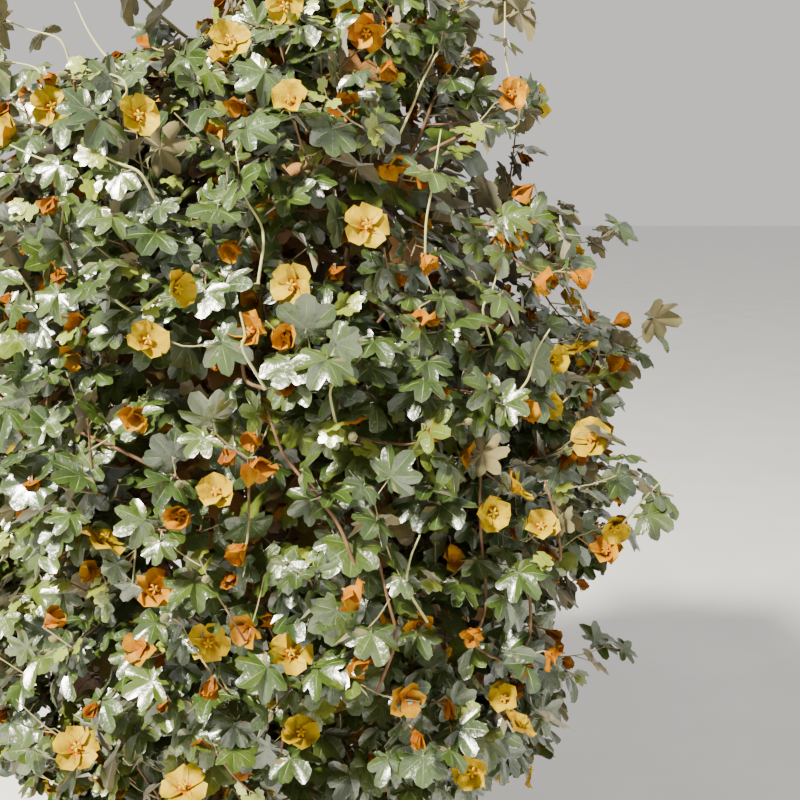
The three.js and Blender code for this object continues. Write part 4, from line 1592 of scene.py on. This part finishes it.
rim_foot = POT_HEIGHT - RIM_HEIGHT
rim_radius = POT_TOP_RADIUS + RIM_PROUD
inner_top = POT_TOP_RADIUS - POT_WALL
floor_height = SOIL_TOP - 60
POT_PROFILE = [(0.5, 0), (POT_FOOT_RADIUS - 5, 0), (POT_FOOT_RADIUS - 1.5, 1.2)]
POT_PROFILE += [wall(height) for height in (5, 60, 120, 180, 250, rim_foot - 6)]
POT_PROFILE += [
    (wall(rim_foot)[0] + 1.5, rim_foot),
    (wall(rim_foot)[0] + RIM_PROUD - 2, rim_foot + 3),
    (wall(rim_foot)[0] + RIM_PROUD, rim_foot + 8),
    (rim_radius - 1, POT_HEIGHT - 16),
    (rim_radius, POT_HEIGHT - 9),
    (rim_radius - 1.5, POT_HEIGHT - 3),
    (rim_radius - 5, POT_HEIGHT),
    (inner_top + 5, POT_HEIGHT),
    (inner_top + 1.2, POT_HEIGHT - 2.5),
    (inner_top, POT_HEIGHT - 7),
    wall(SOIL_TOP - 30, -POT_WALL),
    wall(floor_height, -POT_WALL - 6),
    (0.5, floor_height),
]
pot = Joined()
pot.add(*lathe(POT_PROFILE, POT_SIDES))
pot_piece = pot.piece("clay_pot", [CLAY], "clay", sharp=40)
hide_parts("pot")

SOIL_PROFILE = [
    (0.5, SOIL_TOP - 28),
    (inner_top - 6, SOIL_TOP - 28),
    (inner_top - 5, SOIL_TOP - 9),
    (inner_top - 8, SOIL_TOP - 4),
]
SOIL_PROFILE += [(radius, SOIL_TOP - 1.5) for radius in reversed(CRUMB_RINGS)]
SOIL_PROFILE += [(0.5, SOIL_TOP)]
points, faces = lathe(SOIL_PROFILE, SOIL_SIDES)
crumbs = points[:, 2] > SOIL_TOP - 6
points[crumbs, 2] += np.random.default_rng(CRUMB_SEED).uniform(*CRUMB_HEIGHTS, crumbs.sum())
soil = Joined()
soil.add(points, faces)
soil_piece = soil.piece("potting_soil", [SOIL], "soil", sharp=60)
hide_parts("soil")

# Floor, lights and camera

floor_corners = [(x * FLOOR_REACH, y * FLOOR_REACH, 0) for x, y in ((-1, -1), (1, -1), (1, 1), (-1, 1))]
floor_mesh = bpy.data.meshes.new("floor")
floor_mesh.from_pydata(floor_corners, [], [(0, 1, 2, 3)])
floor = bpy.data.objects.new("floor", floor_mesh)
bpy.context.scene.collection.objects.link(floor)
floor_mesh.materials.append(FLOOR)

world = bpy.data.worlds.new("studio")
bpy.context.scene.world = world
world.use_nodes = True
sky = world.node_tree.nodes["Background"]
sky.inputs["Color"].default_value = SKY_COLOUR
sky.inputs["Strength"].default_value = SKY_STRENGTH


def area_light(name, place, size, power, colour):
    data = bpy.data.lights.new(name, "AREA")
    data.shape = "DISK"
    data.size = size
    data.energy = power
    data.color = colour
    lamp = bpy.data.objects.new(name, data)
    lamp.location = place
    lamp.rotation_euler = (Vector(LIGHT_AIM) - Vector(place)).to_track_quat("-Z", "Y").to_euler()
    bpy.context.scene.collection.objects.link(lamp)


area_light("key", KEY_PLACE, KEY_SIZE, KEY_POWER, KEY_COLOUR)
area_light("fill", FILL_PLACE, FILL_SIZE, FILL_POWER, FILL_COLOUR)

camera_data = bpy.data.cameras.new("camera")
camera_data.sensor_width = SENSOR_WIDTH
camera_data.lens = FOCAL_PIXELS / IMAGE_SIZE * SENSOR_WIDTH
camera = bpy.data.objects.new("camera", camera_data)
camera.location = CAMERA_PLACE * MM
camera.rotation_euler = (math.radians(90 + CAMERA_PITCH), 0, 0)
bpy.context.scene.collection.objects.link(camera)
bpy.context.scene.camera = camera
